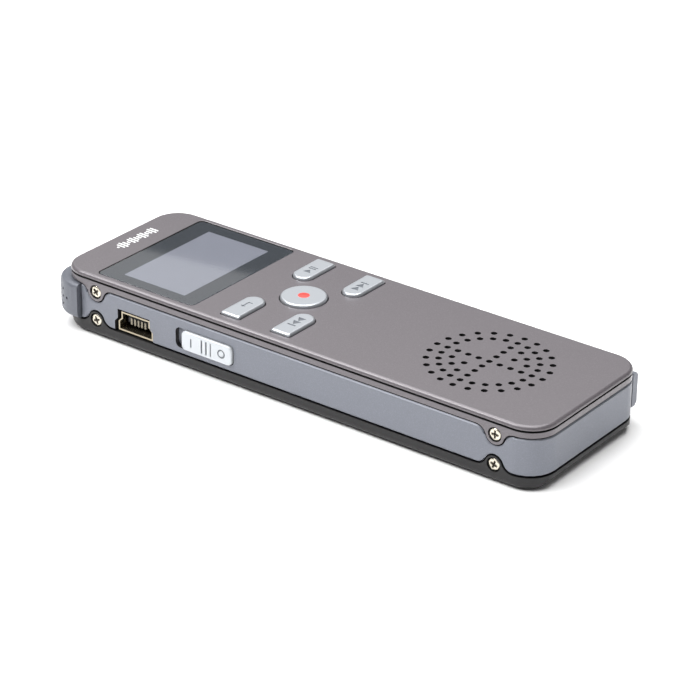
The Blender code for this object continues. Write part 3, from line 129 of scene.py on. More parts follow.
def add_node(
    tree: bpy.types.NodeTree,
    kind: str,
    settings: dict[str, object] | None = None,
    inputs: Links | None = None,
) -> bpy.types.Node:
    """Adds one node to a tree.

    Args:
        tree: The material's or the modifier's node tree.
        kind: The node's type, such as ShaderNodeTexNoise.
        settings: The node's own properties, by name.
        inputs: What each input takes, by the socket's name or number: a socket to link, or a value.

    Returns:
        The new node.
    """
    node = tree.nodes.new(kind)
    for name, value in (settings or {}).items():
        setattr(node, name, value)
    for key, value in (inputs or {}).items():
        socket = node.inputs[key]
        if isinstance(value, bpy.types.NodeSocket):
            tree.links.new(value, socket)
        else:
            socket.default_value = value
    return node


# ---- Finishes ---------------------------------------------------------------------------------------
@dataclass(frozen=True)
class Finish:
    """A plain moulded, plated or printed surface with a fine grain.

    Attributes:
        name: The material's name.
        colour: Base colour as sRGB hex.
        roughness: Microfacet roughness of the smooth parts.
        metallic: 1 for bare or plated metal, 0 for plastic, paint, rubber and paper.
        grain_mm: Size of the surface's grain.
        grain_depth_mm: Height of that grain.
        tone: How far the colour drifts from place to place, as a share.
        coat: Weight of a clear lacquer on top.
        coat_roughness: Roughness of that lacquer.
    """

    name: str
    colour: str
    roughness: float
    metallic: float = 0.0
    grain_mm: float = 0.4
    grain_depth_mm: float = 0.002
    tone: float = 0.04
    coat: float = 0.0
    coat_roughness: float = 0.1

    def material(self) -> bpy.types.Material:
        """Returns the material, made on first use."""
        found = bpy.data.materials.get(self.name)
        if found is not None:
            return found
        material = bpy.data.materials.new(self.name)
        material.use_nodes = True
        tree = material.node_tree
        shader = tree.nodes["Principled BSDF"]
        shader.inputs["Metallic"].default_value = self.metallic
        shader.inputs["Coat Weight"].default_value = self.coat
        shader.inputs["Coat Roughness"].default_value = self.coat_roughness
        self.weave(tree, shader)
        return material

    def weave(self, tree: bpy.types.NodeTree, shader: bpy.types.Node) -> None:
        """Feeds the shader's colour, roughness and bump.

        Args:
            tree: The material's nodes.
            shader: Its Principled shader.
        """
        place = add_node(tree, "ShaderNodeTexCoord").outputs["Object"]
        grain = add_node(
            tree, "ShaderNodeTexNoise",
            inputs={"Vector": place, "Scale": 1 / (self.grain_mm * MM), "Detail": 3.0, "Roughness": 0.6},
        )
        drift = add_node(
            tree, "ShaderNodeTexNoise", inputs={"Vector": place, "Scale": 60.0, "Detail": 2.0},
        )
        base = linear(self.colour)
        colour = add_node(
            tree, "ShaderNodeMix", {"data_type": "RGBA"},
            {0: drift.outputs["Fac"], 6: toned(base, 1 - self.tone), 7: toned(base, 1 + self.tone)},
        )
        tree.links.new(colour.outputs[2], shader.inputs["Base Color"])
        rough = add_node(
            tree, "ShaderNodeMapRange",
            inputs={
                "Value": grain.outputs["Fac"], "From Min": 0.3, "From Max": 0.7,
                "To Min": self.roughness * 0.92, "To Max": self.roughness * 1.08,
            },
        )
        tree.links.new(rough.outputs["Result"], shader.inputs["Roughness"])
        bump = add_node(
            tree, "ShaderNodeBump",
            inputs={"Height": grain.outputs["Fac"], "Distance": self.grain_depth_mm * MM, "Strength": 1.0},
        )
        tree.links.new(bump.outputs["Normal"], shader.inputs["Normal"])


@dataclass(frozen=True)
class FlakeLacquer(Finish):
    """Sprayed metallic lacquer: fine flakes glint in a satin clear coat over an orange-peel ripple.

    Attributes:
        flake_mm: Size of one flake, drawn larger than the real 0.03 mm so that it shows.
        flake_tone: How much lighter the brightest flakes are.
        glint_from: Flakes past this share of the way to the brightest are lighter.
        flake_spread: How far a flake's roughness lies either way from the lacquer's.
        peel_mm: Width of the orange-peel ripple.
        peel_depth_mm: Height of that ripple.
    """

    flake_mm: float = 0.12
    flake_tone: float = 0.22
    glint_from: float = 0.72
    flake_spread: float = 0.05
    peel_mm: float = 1.6
    peel_depth_mm: float = 0.0012

    def weave(self, tree: bpy.types.NodeTree, shader: bpy.types.Node) -> None:
        """Feeds the shader's colour, roughness and bump from the flakes and the ripple."""
        place = add_node(tree, "ShaderNodeTexCoord").outputs["Object"]
        flakes = add_node(
            tree, "ShaderNodeTexVoronoi", inputs={"Vector": place, "Scale": 1 / (self.flake_mm * MM)},
        )
        pick = add_node(tree, "ShaderNodeSeparateColor", inputs={"Color": flakes.outputs["Color"]})
        glint = add_node(
            tree, "ShaderNodeMapRange",
            inputs={"Value": pick.outputs[0], "From Min": self.glint_from},
        )
        base = linear(self.colour)
        colour = add_node(
            tree, "ShaderNodeMix", {"data_type": "RGBA"},
            {0: glint.outputs["Result"], 6: base, 7: toned(base, 1 + self.flake_tone)},
        )
        tree.links.new(colour.outputs[2], shader.inputs["Base Color"])
        rough = add_node(
            tree, "ShaderNodeMapRange",
            inputs={
                "Value": pick.outputs[1], "To Min": self.roughness - self.flake_spread,
                "To Max": self.roughness + self.flake_spread,
            },
        )
        tree.links.new(rough.outputs["Result"], shader.inputs["Roughness"])
        peel = add_node(
            tree, "ShaderNodeTexNoise",
            inputs={"Vector": place, "Scale": 1 / (self.peel_mm * MM), "Detail": 1.0},
        )
        bump = add_node(
            tree, "ShaderNodeBump",
            inputs={"Height": peel.outputs["Fac"], "Distance": self.peel_depth_mm * MM, "Strength": 1.0},
        )
        tree.links.new(bump.outputs["Normal"], shader.inputs["Normal"])
        tree.links.new(bump.outputs["Normal"], shader.inputs["Coat Normal"])


@dataclass(frozen=True)
class WovenCloth(Finish):
    """Plain-woven acoustic cloth: over-and-under threads that leave small dark gaps.

    Attributes:
        thread_mm: Spacing of the threads.
        thread_height_mm: How far they stand out.
        gap: Colour of the gaps between them.
    """

    thread_mm: float = 0.28
    thread_height_mm: float = 0.05
    gap: str = "#070707"

    def weave(self, tree: bpy.types.NodeTree, shader: bpy.types.Node) -> None:
        """Feeds the shader from two crossed rows of threads."""
        place = add_node(tree, "ShaderNodeTexCoord").outputs["Object"]
        rows = []
        for direction in ("X", "Y"):
            wave = add_node(
                tree, "ShaderNodeTexWave", {"bands_direction": direction},
                {"Vector": place, "Scale": math.pi / 10 / (self.thread_mm * MM)},
            )
            rows.append(wave.outputs["Fac"])
        both = add_node(tree, "ShaderNodeMath", {"operation": "MULTIPLY"}, {0: rows[0], 1: rows[1]})
        colour = add_node(
            tree, "ShaderNodeMix", {"data_type": "RGBA"},
            {0: both.outputs[0], 6: linear(self.gap), 7: linear(self.colour)},
        )
        tree.links.new(colour.outputs[2], shader.inputs["Base Color"])
        shader.inputs["Roughness"].default_value = self.roughness
        bump = add_node(
            tree, "ShaderNodeBump",
            inputs={"Height": both.outputs[0], "Distance": self.thread_height_mm * MM, "Strength": 1.0},
        )
        tree.links.new(bump.outputs["Normal"], shader.inputs["Normal"])


@dataclass(frozen=True)
class ClearAcrylic:
    """Cast acrylic sheet: clear all through, with a polished face that mirrors at a low angle."""

    name: str = "polished_clear_acrylic"
    ior: float = 1.49
    roughness: float = 0.03
    tint: str = "#F2F5F8"

    def material(self) -> bpy.types.Material:
        """Returns the material, made on first use."""
        found = bpy.data.materials.get(self.name)
        if found is not None:
            return found
        material = bpy.data.materials.new(self.name)
        material.use_nodes = True
        tree = material.node_tree
        tree.nodes.remove(tree.nodes["Principled BSDF"])
        clear = add_node(tree, "ShaderNodeBsdfTransparent", inputs={"Color": linear(self.tint)})
        gloss = add_node(
            tree, "ShaderNodeBsdfAnisotropic",
            inputs={"Color": linear("#FFFFFF"), "Roughness": self.roughness},
        )
        edge = add_node(tree, "ShaderNodeFresnel", inputs={"IOR": self.ior})
        face = add_node(tree, "ShaderNodeNewGeometry")
        front = add_node(
            tree, "ShaderNodeMath", {"operation": "SUBTRACT"}, {0: 1.0, 1: face.outputs["Backfacing"]},
        )
        share = add_node(
            tree, "ShaderNodeMath", {"operation": "MULTIPLY"}, {0: edge.outputs[0], 1: front.outputs[0]},
        )
        mixed = add_node(
            tree, "ShaderNodeMixShader",
            inputs={0: share.outputs[0], 1: clear.outputs[0], 2: gloss.outputs[0]},
        )
        tree.links.new(mixed.outputs[0], tree.nodes["Material Output"].inputs["Surface"])
        return material


# Zinc die casting sprayed in dark metallic lacquer: a warm grey that turns light at a low angle.
GUNMETAL = FlakeLacquer("gunmetal_flake_lacquer", "#676266", 0.40, 0.35, coat=0.45, coat_roughness=0.16)
# Painted shade: the back takes a much darker copy of the same lacquer, for the shade under the recorder.
SHADED_GUNMETAL = FlakeLacquer(
    "dark_gunmetal_flake_lacquer", "#1E1D1E", 0.46, 0.25, coat=0.08, coat_roughness=0.25
)
# Moulded ABS sprayed in fine silver lacquer: cooler and more matt than the covers.
SILVER = FlakeLacquer(
    "silver_flake_lacquer", "#777A83", 0.46, 0.3, flake_mm=0.1, flake_tone=0.18, coat=0.12, coat_roughness=0.3
)
# The bumper has a darker silver and less clear coat than the frame.
BUMPER_SILVER = FlakeLacquer(
    "bumper_flake_lacquer", "#62656D", 0.48, 0.25, flake_mm=0.1, flake_tone=0.18, coat=0.1, coat_roughness=0.3
)
# Keys are plated bright all over and then blasted satin on top.
SATIN_PLATE = Finish("satin_chrome_plate", "#AFB3B8", 0.36, 0.5, grain_mm=0.08, grain_depth_mm=0.0012)
# The power knob is sprayed, not plated: paler and more matt than the keys.
KNOB_SILVER = Finish("satin_silver_paint", "#CCD0D4", 0.42, 0.3, grain_mm=0.12, grain_depth_mm=0.004)
# The keys' rims keep the bright plating.
BRIGHT_PLATE = Finish("bright_chrome_plate", "#C4C8CD", 0.3, 0.75, grain_mm=0.3, grain_depth_mm=0.0)
# Engraved lines lie in shadow and hold a little grey paint.
ENGRAVED = Finish("grey_engraving_paint", "#62666C", 0.55)
# Baked enamel, thick and glossy.
RED_ENAMEL = Finish("red_enamel", "#E23C33", 0.32, coat=0.5, coat_roughness=0.08)
# Steel screws are nickel plated, which is warmer than chrome.
NICKEL = Finish("nickel_plate", "#D9D2C2", 0.24, 0.9, grain_mm=0.15)
# Tin over steel is duller and yellower than nickel.
TIN_PLATE = Finish("tin_plated_steel", "#A89E8A", 0.26, 0.95, grain_mm=0.2)
# A thin gold flash over bronze looks grey in the shade of the socket.
GOLD_FLASH = Finish("gold_flashed_bronze", "#857E70", 0.34, 0.9, grain_mm=0.2)
# Painted shade: near black on hole walls, the groove, openings, seams and insides, where shade falls.
PAINTED_SHADE = Finish("black_primer", "#0D0D0E", 0.7)
# Painted shade: a dark brown in the bottom of each screw's cross, where shade falls.
RECESS_SHADE = Finish("waxed_screw_recess", "#4A4034", 0.6)
SOCKET_NYLON = Finish("black_glass_filled_nylon", "#17171A", 0.5)
BLACK_MASK = Finish("black_screen_printed_mask", "#1F2227", 0.5, grain_depth_mm=0.0003)
# The display is switched off: a grey reflective cell with a slight blue cast.
LCD_GLASS = Finish("reflective_lcd_cell", "#89858A", 0.3, grain_depth_mm=0.0002, tone=0.02)
WHITE_INK = Finish("white_pad_printing", "#F6F7F8", 0.5, grain_mm=0.1, grain_depth_mm=0.0006, tone=0.01)
ACOUSTIC_CLOTH = WovenCloth("black_acoustic_cloth", "#1C1C1F", 0.9)
RUBBER = Finish("moulded_grey_rubber", "#3A3A3D", 0.75, grain_mm=0.5, grain_depth_mm=0.006)
FOAM = Finish("black_closed_cell_foam", "#141415", 0.95, grain_mm=0.35, grain_depth_mm=0.05)
SPRING_STEEL = Finish("stamped_spring_steel", "#B3B3B2", 0.34, 0.95, grain_mm=0.3)
MAGNET_PLATE = Finish("zinc_plated_magnet_cup", "#9DA0A3", 0.3, 0.9)
CONE_FILM = Finish("polyester_cone_film", "#4B4843", 0.45)
COPPER_WIRE = Finish("enamelled_copper_wire", "#B5682F", 0.35, 0.8, grain_mm=0.12, grain_depth_mm=0.01)
BOARD_GREEN = Finish("green_solder_mask", "#1E5B33", 0.4, coat=0.3)
CHIP_EPOXY = Finish("moulded_epoxy_package", "#1B1B1D", 0.6, grain_mm=0.15, grain_depth_mm=0.004)
POUCH_FOIL = Finish("aluminium_pouch_foil", "#A6A8AB", 0.32, 0.8, grain_mm=0.9, grain_depth_mm=0.01)
LIGHT_GUIDE = Finish("white_light_guide", "#E3E4E0", 0.4)
FLEX_FILM = Finish("amber_polyimide_flex", "#B4702C", 0.4, coat=0.3)


# ---- Geometry helpers -------------------------------------------------------------------------------
def arc(centre: Point, radius: float, start: float, end: float, steps: int) -> Outline:
    """Points on an arc, anticlockwise from start to end.

    Args:
        centre: The arc's centre.
        radius: Its radius.
        start: First angle in degrees.
        end: Last angle in degrees.
        steps: How many stretches it is cut into.

    Returns:
        The points, both ends included.
    """
    angles = [math.radians(start + (end - start) * i / steps) for i in range(steps + 1)]
    return [(centre[0] + radius * math.cos(a), centre[1] + radius * math.sin(a)) for a in angles]


def round_rect(centre: Point, half: Point, corner: float, steps: int = 12) -> Outline:
    """A rectangle with round corners.

    Args:
        centre: Its middle.
        half: Half its width and half its height.
        corner: Radius of the corners.
        steps: Stretches in each corner.

    Returns:
        Its points, anticlockwise.
    """
    points: Outline = []
    for quarter, (su, sv) in enumerate(((1, 1), (-1, 1), (-1, -1), (1, -1))):
        middle = (centre[0] + su * (half[0] - corner), centre[1] + sv * (half[1] - corner))
        points += arc(middle, corner, 90 * quarter, 90 * quarter + 90, steps)
    return points


def raised(outline: Outline, level: float, along: Along = Along.Z) -> list[Vector]:
    """An outline set at a level along an axis, in millimetres.

    The outline's points are (x, y) for Z, (y, z) for X and (z, x) for Y.
    """
    if along is Along.Z:
        return [Vector((u, v, level)) for u, v in outline]
    if along is Along.X:
        return [Vector((level, u, v)) for u, v in outline]
    return [Vector((v, level, u)) for u, v in outline]


def loft(name: str, rings: Sequence[Sequence[Vector]]) -> bpy.types.Object:
    """A closed solid through rings of equally many points, filled at both ends.

    Args:
        name: The object's name.
        rings: The rings in order, in millimetres.

    Returns:
        The solid, facing outwards.
    """
    bm = bmesh.new()
    loops = [[bm.verts.new(point * MM) for point in ring] for ring in rings]
    for below, above in zip(loops, loops[1:]):
        for i in range(len(below)):
            j = (i + 1) % len(below)
            bm.faces.new((below[i], below[j], above[j], above[i]))
    bm.faces.new(list(reversed(loops[0])))
    bm.faces.new(loops[-1])
    return from_bmesh(name, bm)


def from_bmesh(name: str, bm: bmesh.types.BMesh) -> bpy.types.Object:
    """Turns a bmesh, in metres, to an object whose faces point outwards."""
    bmesh.ops.recalc_face_normals(bm, faces=bm.faces)
    mesh = bpy.data.meshes.new(name)
    bm.to_mesh(mesh)
    bm.free()
    return linked(name, mesh)


def linked(name: str, data: bpy.types.ID) -> bpy.types.Object:
    """Makes an object of a mesh, a light or a camera and links it to the scene."""
    obj = bpy.data.objects.new(name, data)
    bpy.context.scene.collection.objects.link(obj)
    return obj


def prism(name: str, outline: Outline, low: float, high: float, along: Along = Along.Z) -> bpy.types.Object:
    """A straight solid between two levels."""
    return loft(name, [raised(outline, low, along), raised(outline, high, along)])


def flared(
    name: str,
    shape: Callable[[float], Outline],
    levels: Sequence[tuple[float, float]],
    along: Along = Along.Z,
) -> bpy.types.Object:
    """A solid whose outline grows from level to level, such as a cutter for a chamfered opening.

    Args:
        name: The object's name.
        shape: Gives the outline for a margin.
        levels: Pairs of level and margin.
        along: The axis that the levels run along.

    Returns:
        The solid.
    """
    return loft(name, [raised(shape(margin), level, along) for level, margin in levels])


def turned(name: str, profile: Outline, steps: int = 48) -> bpy.types.Object:
    """A solid of revolution about Z, from a profile of (radius, height) that starts and ends on the axis."""
    bm = bmesh.new()
    inner = profile[1:-1]
    foot = bm.verts.new(Vector((0, 0, profile[0][1])) * MM)
    head = bm.verts.new(Vector((0, 0, profile[-1][1])) * MM)
    turns = [2 * math.pi * i / steps for i in range(steps)]
    loops = [
        [bm.verts.new(Vector((r * math.cos(a), r * math.sin(a), z)) * MM) for a in turns] for r, z in inner
    ]
    for i in range(steps):
        j = (i + 1) % steps
        bm.faces.new((foot, loops[0][j], loops[0][i]))
        bm.faces.new((head, loops[-1][i], loops[-1][j]))
        for below, above in zip(loops, loops[1:]):
            bm.faces.new((below[i], below[j], above[j], above[i]))
    return from_bmesh(name, bm)


def plain(obj: bpy.types.Object) -> bpy.types.Object:
    """Turns an object's evaluated shape to its own mesh and takes its modifiers off."""
    bpy.context.view_layer.update()
    graph = bpy.context.evaluated_depsgraph_get()
    mesh = bpy.data.meshes.new_from_object(obj.evaluated_get(graph))
    mesh.name = obj.name
    obj.modifiers.clear()
    obj.data = mesh
    return obj


def combine(target: bpy.types.Object, tools: Iterable[bpy.types.Object], operation: str) -> bpy.types.Object:
    """Cuts tools from a target or joins them to it, one by one, and removes them.

    Args:
        target: The solid that changes.
        tools: Closed solids.
        operation: DIFFERENCE, UNION or INTERSECT.

    Returns:
        The target, as a plain mesh.
    """
    used = list(tools)
    for tool in used:
        modifier = target.modifiers.new(tool.name, "BOOLEAN")
        modifier.operation = operation
        modifier.solver = "EXACT"
        modifier.object = tool
    plain(target)
    for tool in used:
        bpy.data.objects.remove(tool, do_unlink=True)
    return target


def smooth(obj: bpy.types.Object, angle: float = 32.0) -> bpy.types.Object:
    """Shades an object smooth, with edges over the angle sharp and flat faces kept flat."""
    obj.data.shade_smooth()
    obj.data.set_sharp_from_angle(angle=math.radians(angle))
    weighted = obj.modifiers.new("flat_faces_lead", "WEIGHTED_NORMAL")
    weighted.keep_sharp = True
    return plain(obj)


def refined(node: str, name: str) -> bpy.types.Object:
    """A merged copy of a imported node, ready for finer cuts.

    Args:
        node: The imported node.
        name: The copy's name.

    Returns:
        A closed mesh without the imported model's loose triangles.
    """
    bm = bmesh.new()
    bm.from_mesh(NODES[node].data)
    bmesh.ops.remove_doubles(bm, verts=bm.verts, dist=2e-7)
    bmesh.ops.dissolve_limit(
        bm, angle_limit=math.radians(0.2), verts=bm.verts, edges=bm.edges, delimit={"NORMAL"}
    )
    return from_bmesh(name, bm)


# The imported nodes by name, filled once the model is loaded.
NODES: dict[str, bpy.types.Object] = {}


def paint(obj: bpy.types.Object, *materials: bpy.types.Material) -> bpy.types.Object:
    """Gives an object its materials in slot order."""
    obj.data.materials.clear()
    for material in materials:
        obj.data.materials.append(material)
    return obj


def repaint(obj: bpy.types.Object, index: int, picks: Callable[[Vector, Vector], bool]) -> None:
    """Gives another of a piece's materials to the faces that a test picks.

    Args:
        obj: The piece.
        index: The material's number in slot order.
        picks: The test, on a face's middle in millimetres and its normal.
    """
    for face in obj.data.polygons:
        if picks(face.center / MM, face.normal):
            face.material_index = index


def settle(obj: bpy.types.Object, body: str, replaced: Sequence[str] = ()) -> bpy.types.Object:
    """Registers a finished piece: the body it rides on and the nodes it stands for."""
    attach(obj, body)
    if replaced:
        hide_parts(*replaced)
    LOG.info("%s: %d faces on %s", obj.name, len(obj.data.polygons), body)
    return obj


def centre_of(node: str) -> Vector:
    """The middle of a node's box, in millimetres."""
    low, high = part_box(node)
    return (low + high) / 2 / MM


@functools.cache
def corners_of(node: str) -> tuple[Vector, Vector]:
    """A node's lowest and highest corners, in millimetres."""
    low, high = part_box(node)
    return low / MM, high / MM


def plan_of(node: str) -> tuple[Point, Point]:
    """The middle and half the size of a node's box seen from above, in millimetres."""
    low, high = corners_of(node)
    return ((low.x + high.x) / 2, (low.y + high.y) / 2), ((high.x - low.x) / 2, (high.y - low.y) / 2)


# ---- Geometry Nodes ---------------------------------------------------------------------------------
@dataclass
class Pattern:
    """A node tree that repeats one small shape, applied to a mesh of points.

    Attributes:
        name: The tree's name.
        sizes: Named inputs and their values in metres.
    """

    name: str
    sizes: dict[str, float] = field(default_factory=dict)

    def new_tree(self, dressed: bool = True) -> tuple[bpy.types.NodeTree, bpy.types.Node, bpy.types.Node]:
        """Starts the tree with its geometry, size and material sockets.

        Args:
            dressed: Whether the tree takes a material.

        Returns:
            The tree, its input node and its output node.
        """
        tree = bpy.data.node_groups.new(self.name, "GeometryNodeTree")
        face = tree.interface
        face.new_socket("Geometry", in_out="INPUT", socket_type="NodeSocketGeometry")
        for label in self.sizes:
            face.new_socket(label, in_out="INPUT", socket_type="NodeSocketFloat")
        if dressed:
            face.new_socket("Material", in_out="INPUT", socket_type="NodeSocketMaterial")
        face.new_socket("Geometry", in_out="OUTPUT", socket_type="NodeSocketGeometry")
        return tree, tree.nodes.new("NodeGroupInput"), tree.nodes.new("NodeGroupOutput")

    @staticmethod
    def facing(tree: bpy.types.NodeTree) -> bpy.types.NodeSocket:
        """Reads which way each point faces, as the turn that leads Z there."""
        outward = add_node(
            tree, "GeometryNodeInputNamedAttribute", {"data_type": "FLOAT_VECTOR"}, {"Name": "outward"},
        )
        turn = add_node(
            tree, "FunctionNodeAlignRotationToVector", {"axis": "Z"},
            {"Vector": outward.outputs["Attribute"]},
        )
        return turn.outputs["Rotation"]

    @staticmethod
    def close(
        tree: bpy.types.NodeTree,
        result: bpy.types.NodeSocket,
        end: bpy.types.Node,
        material: bpy.types.NodeSocket | None = None,
    ) -> None:
        """Ends the tree: makes the copies real and gives them their material, if there is one.

        Args:
            tree: The tree.
            result: The geometry with its copies.
            end: The tree's output node.
            material: The socket that holds the material.
        """
        result = add_node(tree, "GeometryNodeRealizeInstances", inputs={0: result}).outputs[0]
        if material is not None:
            dressed = add_node(
                tree, "GeometryNodeSetMaterial", inputs={"Geometry": result, "Material": material},
            )
            result = dressed.outputs[0]
        tree.links.new(result, end.inputs[0])

    def apply(
        self, obj: bpy.types.Object, tree: bpy.types.NodeTree, material: bpy.types.Material | None = None
    ) -> bpy.types.Object:
        """Runs the tree on an object's points and keeps the result as a plain mesh."""
        modifier = obj.modifiers.new(self.name, "NODES")
        modifier.node_group = tree
        for item in tree.interface.items_tree:
            if item.in_out != "INPUT":
                continue
            if item.name in self.sizes:
                modifier[item.identifier] = float(self.sizes[item.name])
            if item.name == "Material" and material is not None:
                modifier[item.identifier] = material
        return plain(obj)


def point_mesh(name: str, points: Sequence[Vector], outward: Sequence[Vector]) -> bpy.types.Object:
    """Loose points in millimetres, each with the direction that what stands on it faces."""
    mesh = bpy.data.meshes.new(name)
    mesh.from_pydata([point * MM for point in points], [], [])
    facing = mesh.attributes.new("outward", "FLOAT_VECTOR", "POINT")
    for item, direction in zip(facing.data, outward):
        item.vector = direction
    return linked(name, mesh)


@dataclass
class Perforation(Pattern):
    """Round taper pins on points, used to pierce a wall or to countersink the holes' mouths.

    Attributes:
        sides: How many sides each pin has.
    """

    sides: int = 20

    def pins(self, points: Sequence[Vector], outward: Sequence[Vector]) -> bpy.types.Object:
        """Makes the pins.

        Args:
            points: Where the pins' middles are, in millimetres.
            outward: Which way each pin's wide end faces.

        Returns:
            All the pins as one mesh of separate closed solids.
        """
        tree, start, end = self.new_tree(dressed=False)
        pin = add_node(
            tree, "GeometryNodeMeshCone",
            inputs={
                "Vertices": self.sides, "Radius Top": start.outputs["Outer radius"],
                "Radius Bottom": start.outputs["Inner radius"], "Depth": start.outputs["Length"],
            },
        )
        half = add_node(
            tree, "ShaderNodeMath", {"operation": "MULTIPLY"}, {0: start.outputs["Length"], 1: -0.5},
        )
        drop = add_node(tree, "ShaderNodeCombineXYZ", inputs={"Z": half.outputs[0]})
        centred = add_node(
            tree, "GeometryNodeTransform",
            inputs={"Geometry": pin.outputs["Mesh"], "Translation": drop.outputs[0]},
        )
        spread = add_node(
            tree, "GeometryNodeInstanceOnPoints",
            inputs={
                "Points": start.outputs["Geometry"], "Instance": centred.outputs[0],
                "Rotation": self.facing(tree),
            },
        )
        self.close(tree, spread.outputs[0], end)
        return self.apply(point_mesh(self.name, points, outward), tree)


@dataclass
class Scatter(Pattern):
    """Copies of one finished piece on points, such as the screws round the case."""

    def copies(
        self,
        piece: bpy.types.Object,
        points: Sequence[Vector],
        outward: Sequence[Vector],
        material: bpy.types.Material,
    ) -> bpy.types.Object:
        """Stands the piece, which points along Z, on every point, and removes the pattern piece."""
        tree, start, end = self.new_tree()
        source = add_node(tree, "GeometryNodeObjectInfo", {"transform_space": "ORIGINAL"}, {"Object": piece})
        number = add_node(tree, "GeometryNodeInputIndex")
        angle = add_node(
            tree, "ShaderNodeMath", {"operation": "MULTIPLY"},
            {0: number.outputs[0], 1: start.outputs["Turn per copy"]},
        )
        spin = add_node(tree, "ShaderNodeCombineXYZ", inputs={"Z": angle.outputs[0]})
        euler = add_node(tree, "FunctionNodeEulerToRotation", inputs={0: spin.outputs[0]})
        whole = add_node(
            tree, "FunctionNodeRotateRotation", {"rotation_space": "LOCAL"},
            {0: self.facing(tree), 1: euler.outputs[0]},
        )
        spread = add_node(
            tree, "GeometryNodeInstanceOnPoints",
            inputs={
                "Points": start.outputs["Geometry"], "Instance": source.outputs["Geometry"],
                "Rotation": whole.outputs[0],
            },
        )
        self.close(tree, spread.outputs[0], end, start.outputs["Material"])
        obj = self.apply(point_mesh(self.name, points, outward), tree, material)
        bpy.data.objects.remove(piece, do_unlink=True)
        return obj


@dataclass
class BarRow(Pattern):
    """A row of thin upright bars whose lengths rise and fall, like a sound level drawn in print.

    Attributes:
        count: How many bars there are.
    """

    count: int = 15

    def bars(self, centre: Vector, material: bpy.types.Material) -> bpy.types.Object:
        """Makes the row, centred on a point in millimetres and running along X."""
        tree, start, end = self.new_tree()
        pitch = add_node(tree, "ShaderNodeCombineXYZ", inputs={"X": start.outputs["Pitch"]})
        row = add_node(
            tree, "GeometryNodeMeshLine", {"mode": "OFFSET"},
            {"Count": self.count, "Offset": pitch.outputs[0]},
        )
        number = add_node(tree, "GeometryNodeInputIndex")
        swing = add_node(
            tree, "ShaderNodeMath", {"operation": "MULTIPLY"},
            {0: number.outputs[0], 1: start.outputs["Swing"]},
        )
        wave = add_node(tree, "ShaderNodeMath", {"operation": "SINE"}, {0: swing.outputs[0]})
        size = add_node(tree, "ShaderNodeMath", {"operation": "ABSOLUTE"}, {0: wave.outputs[0]})
        length = add_node(
            tree, "ShaderNodeMapRange",
            inputs={
                "Value": size.outputs[0], "To Min": start.outputs["Shortest"],
                "To Max": start.outputs["Longest"],
            },
        )
        scale = add_node(
            tree, "ShaderNodeCombineXYZ",
            inputs={
                "X": start.outputs["Width"], "Y": length.outputs["Result"], "Z": start.outputs["Thickness"],
            },
        )
        bar = add_node(tree, "GeometryNodeMeshCube", inputs={"Size": (1.0, 1.0, 1.0)})
        spread = add_node(
            tree, "GeometryNodeInstanceOnPoints",
            inputs={
                "Points": row.outputs["Mesh"], "Instance": bar.outputs["Mesh"], "Scale": scale.outputs[0],
            },
        )
        back = Vector(centre) * MM - Vector(((self.count - 1) / 2 * self.sizes["Pitch"], 0, 0))
        moved = add_node(
            tree, "GeometryNodeTransform", inputs={"Geometry": spread.outputs[0], "Translation": back},
        )
        self.close(tree, moved.outputs[0], end, start.outputs["Material"])
        return self.apply(point_mesh(self.name, [centre], [Vector((0, 0, 1))]), tree, material)


# ---- Shared case sizes ------------------------------------------------------------------------------
@dataclass(frozen=True)
class Case:
    """Outer sizes of the case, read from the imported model, in millimetres."""

    side: float
    end: float
    top: float
    frame_low: float
    frame_high: float
    corner: float = 5.2
    seam: float = 0.25

    @classmethod
    def measured(cls) -> Case:
        """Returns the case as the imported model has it."""
        _, back = corners_of("rear_cover")
        _, front = corners_of("front_cover")
        low, high = corners_of("mic_cap")
        return cls(side=back.x, end=back.y, top=front.z, frame_low=low.z, frame_high=high.z)

    def plan(self, inset: float = 0.0, steps: int = 16) -> Outline:
        """The case's plan, drawn in by inset all round."""
        return round_rect((0, 0), (self.side - inset, self.end - inset), self.corner - inset, steps)

    def inset(self, point: Vector) -> float:
        """How far a point lies inside the case's plan, seen from above."""
        across = abs(point.x) - (self.side - self.corner)
        along = abs(point.y) - (self.end - self.corner)
        if across > 0 and along > 0:
            return self.corner - math.hypot(across, along)
        return self.corner - max(across, along)

    def outward(self, point: Vector) -> Vector:
        """The level direction that leads straight out of the case's plan at a point."""
        across = max(abs(point.x) - (self.side - self.corner), 0.0)
        along = max(abs(point.y) - (self.end - self.corner), 0.0)
        way = Vector((math.copysign(across, point.x), math.copysign(along, point.y), 0))
        return way.normalized() if way.length > 0 else Vector((0, 0, 1))


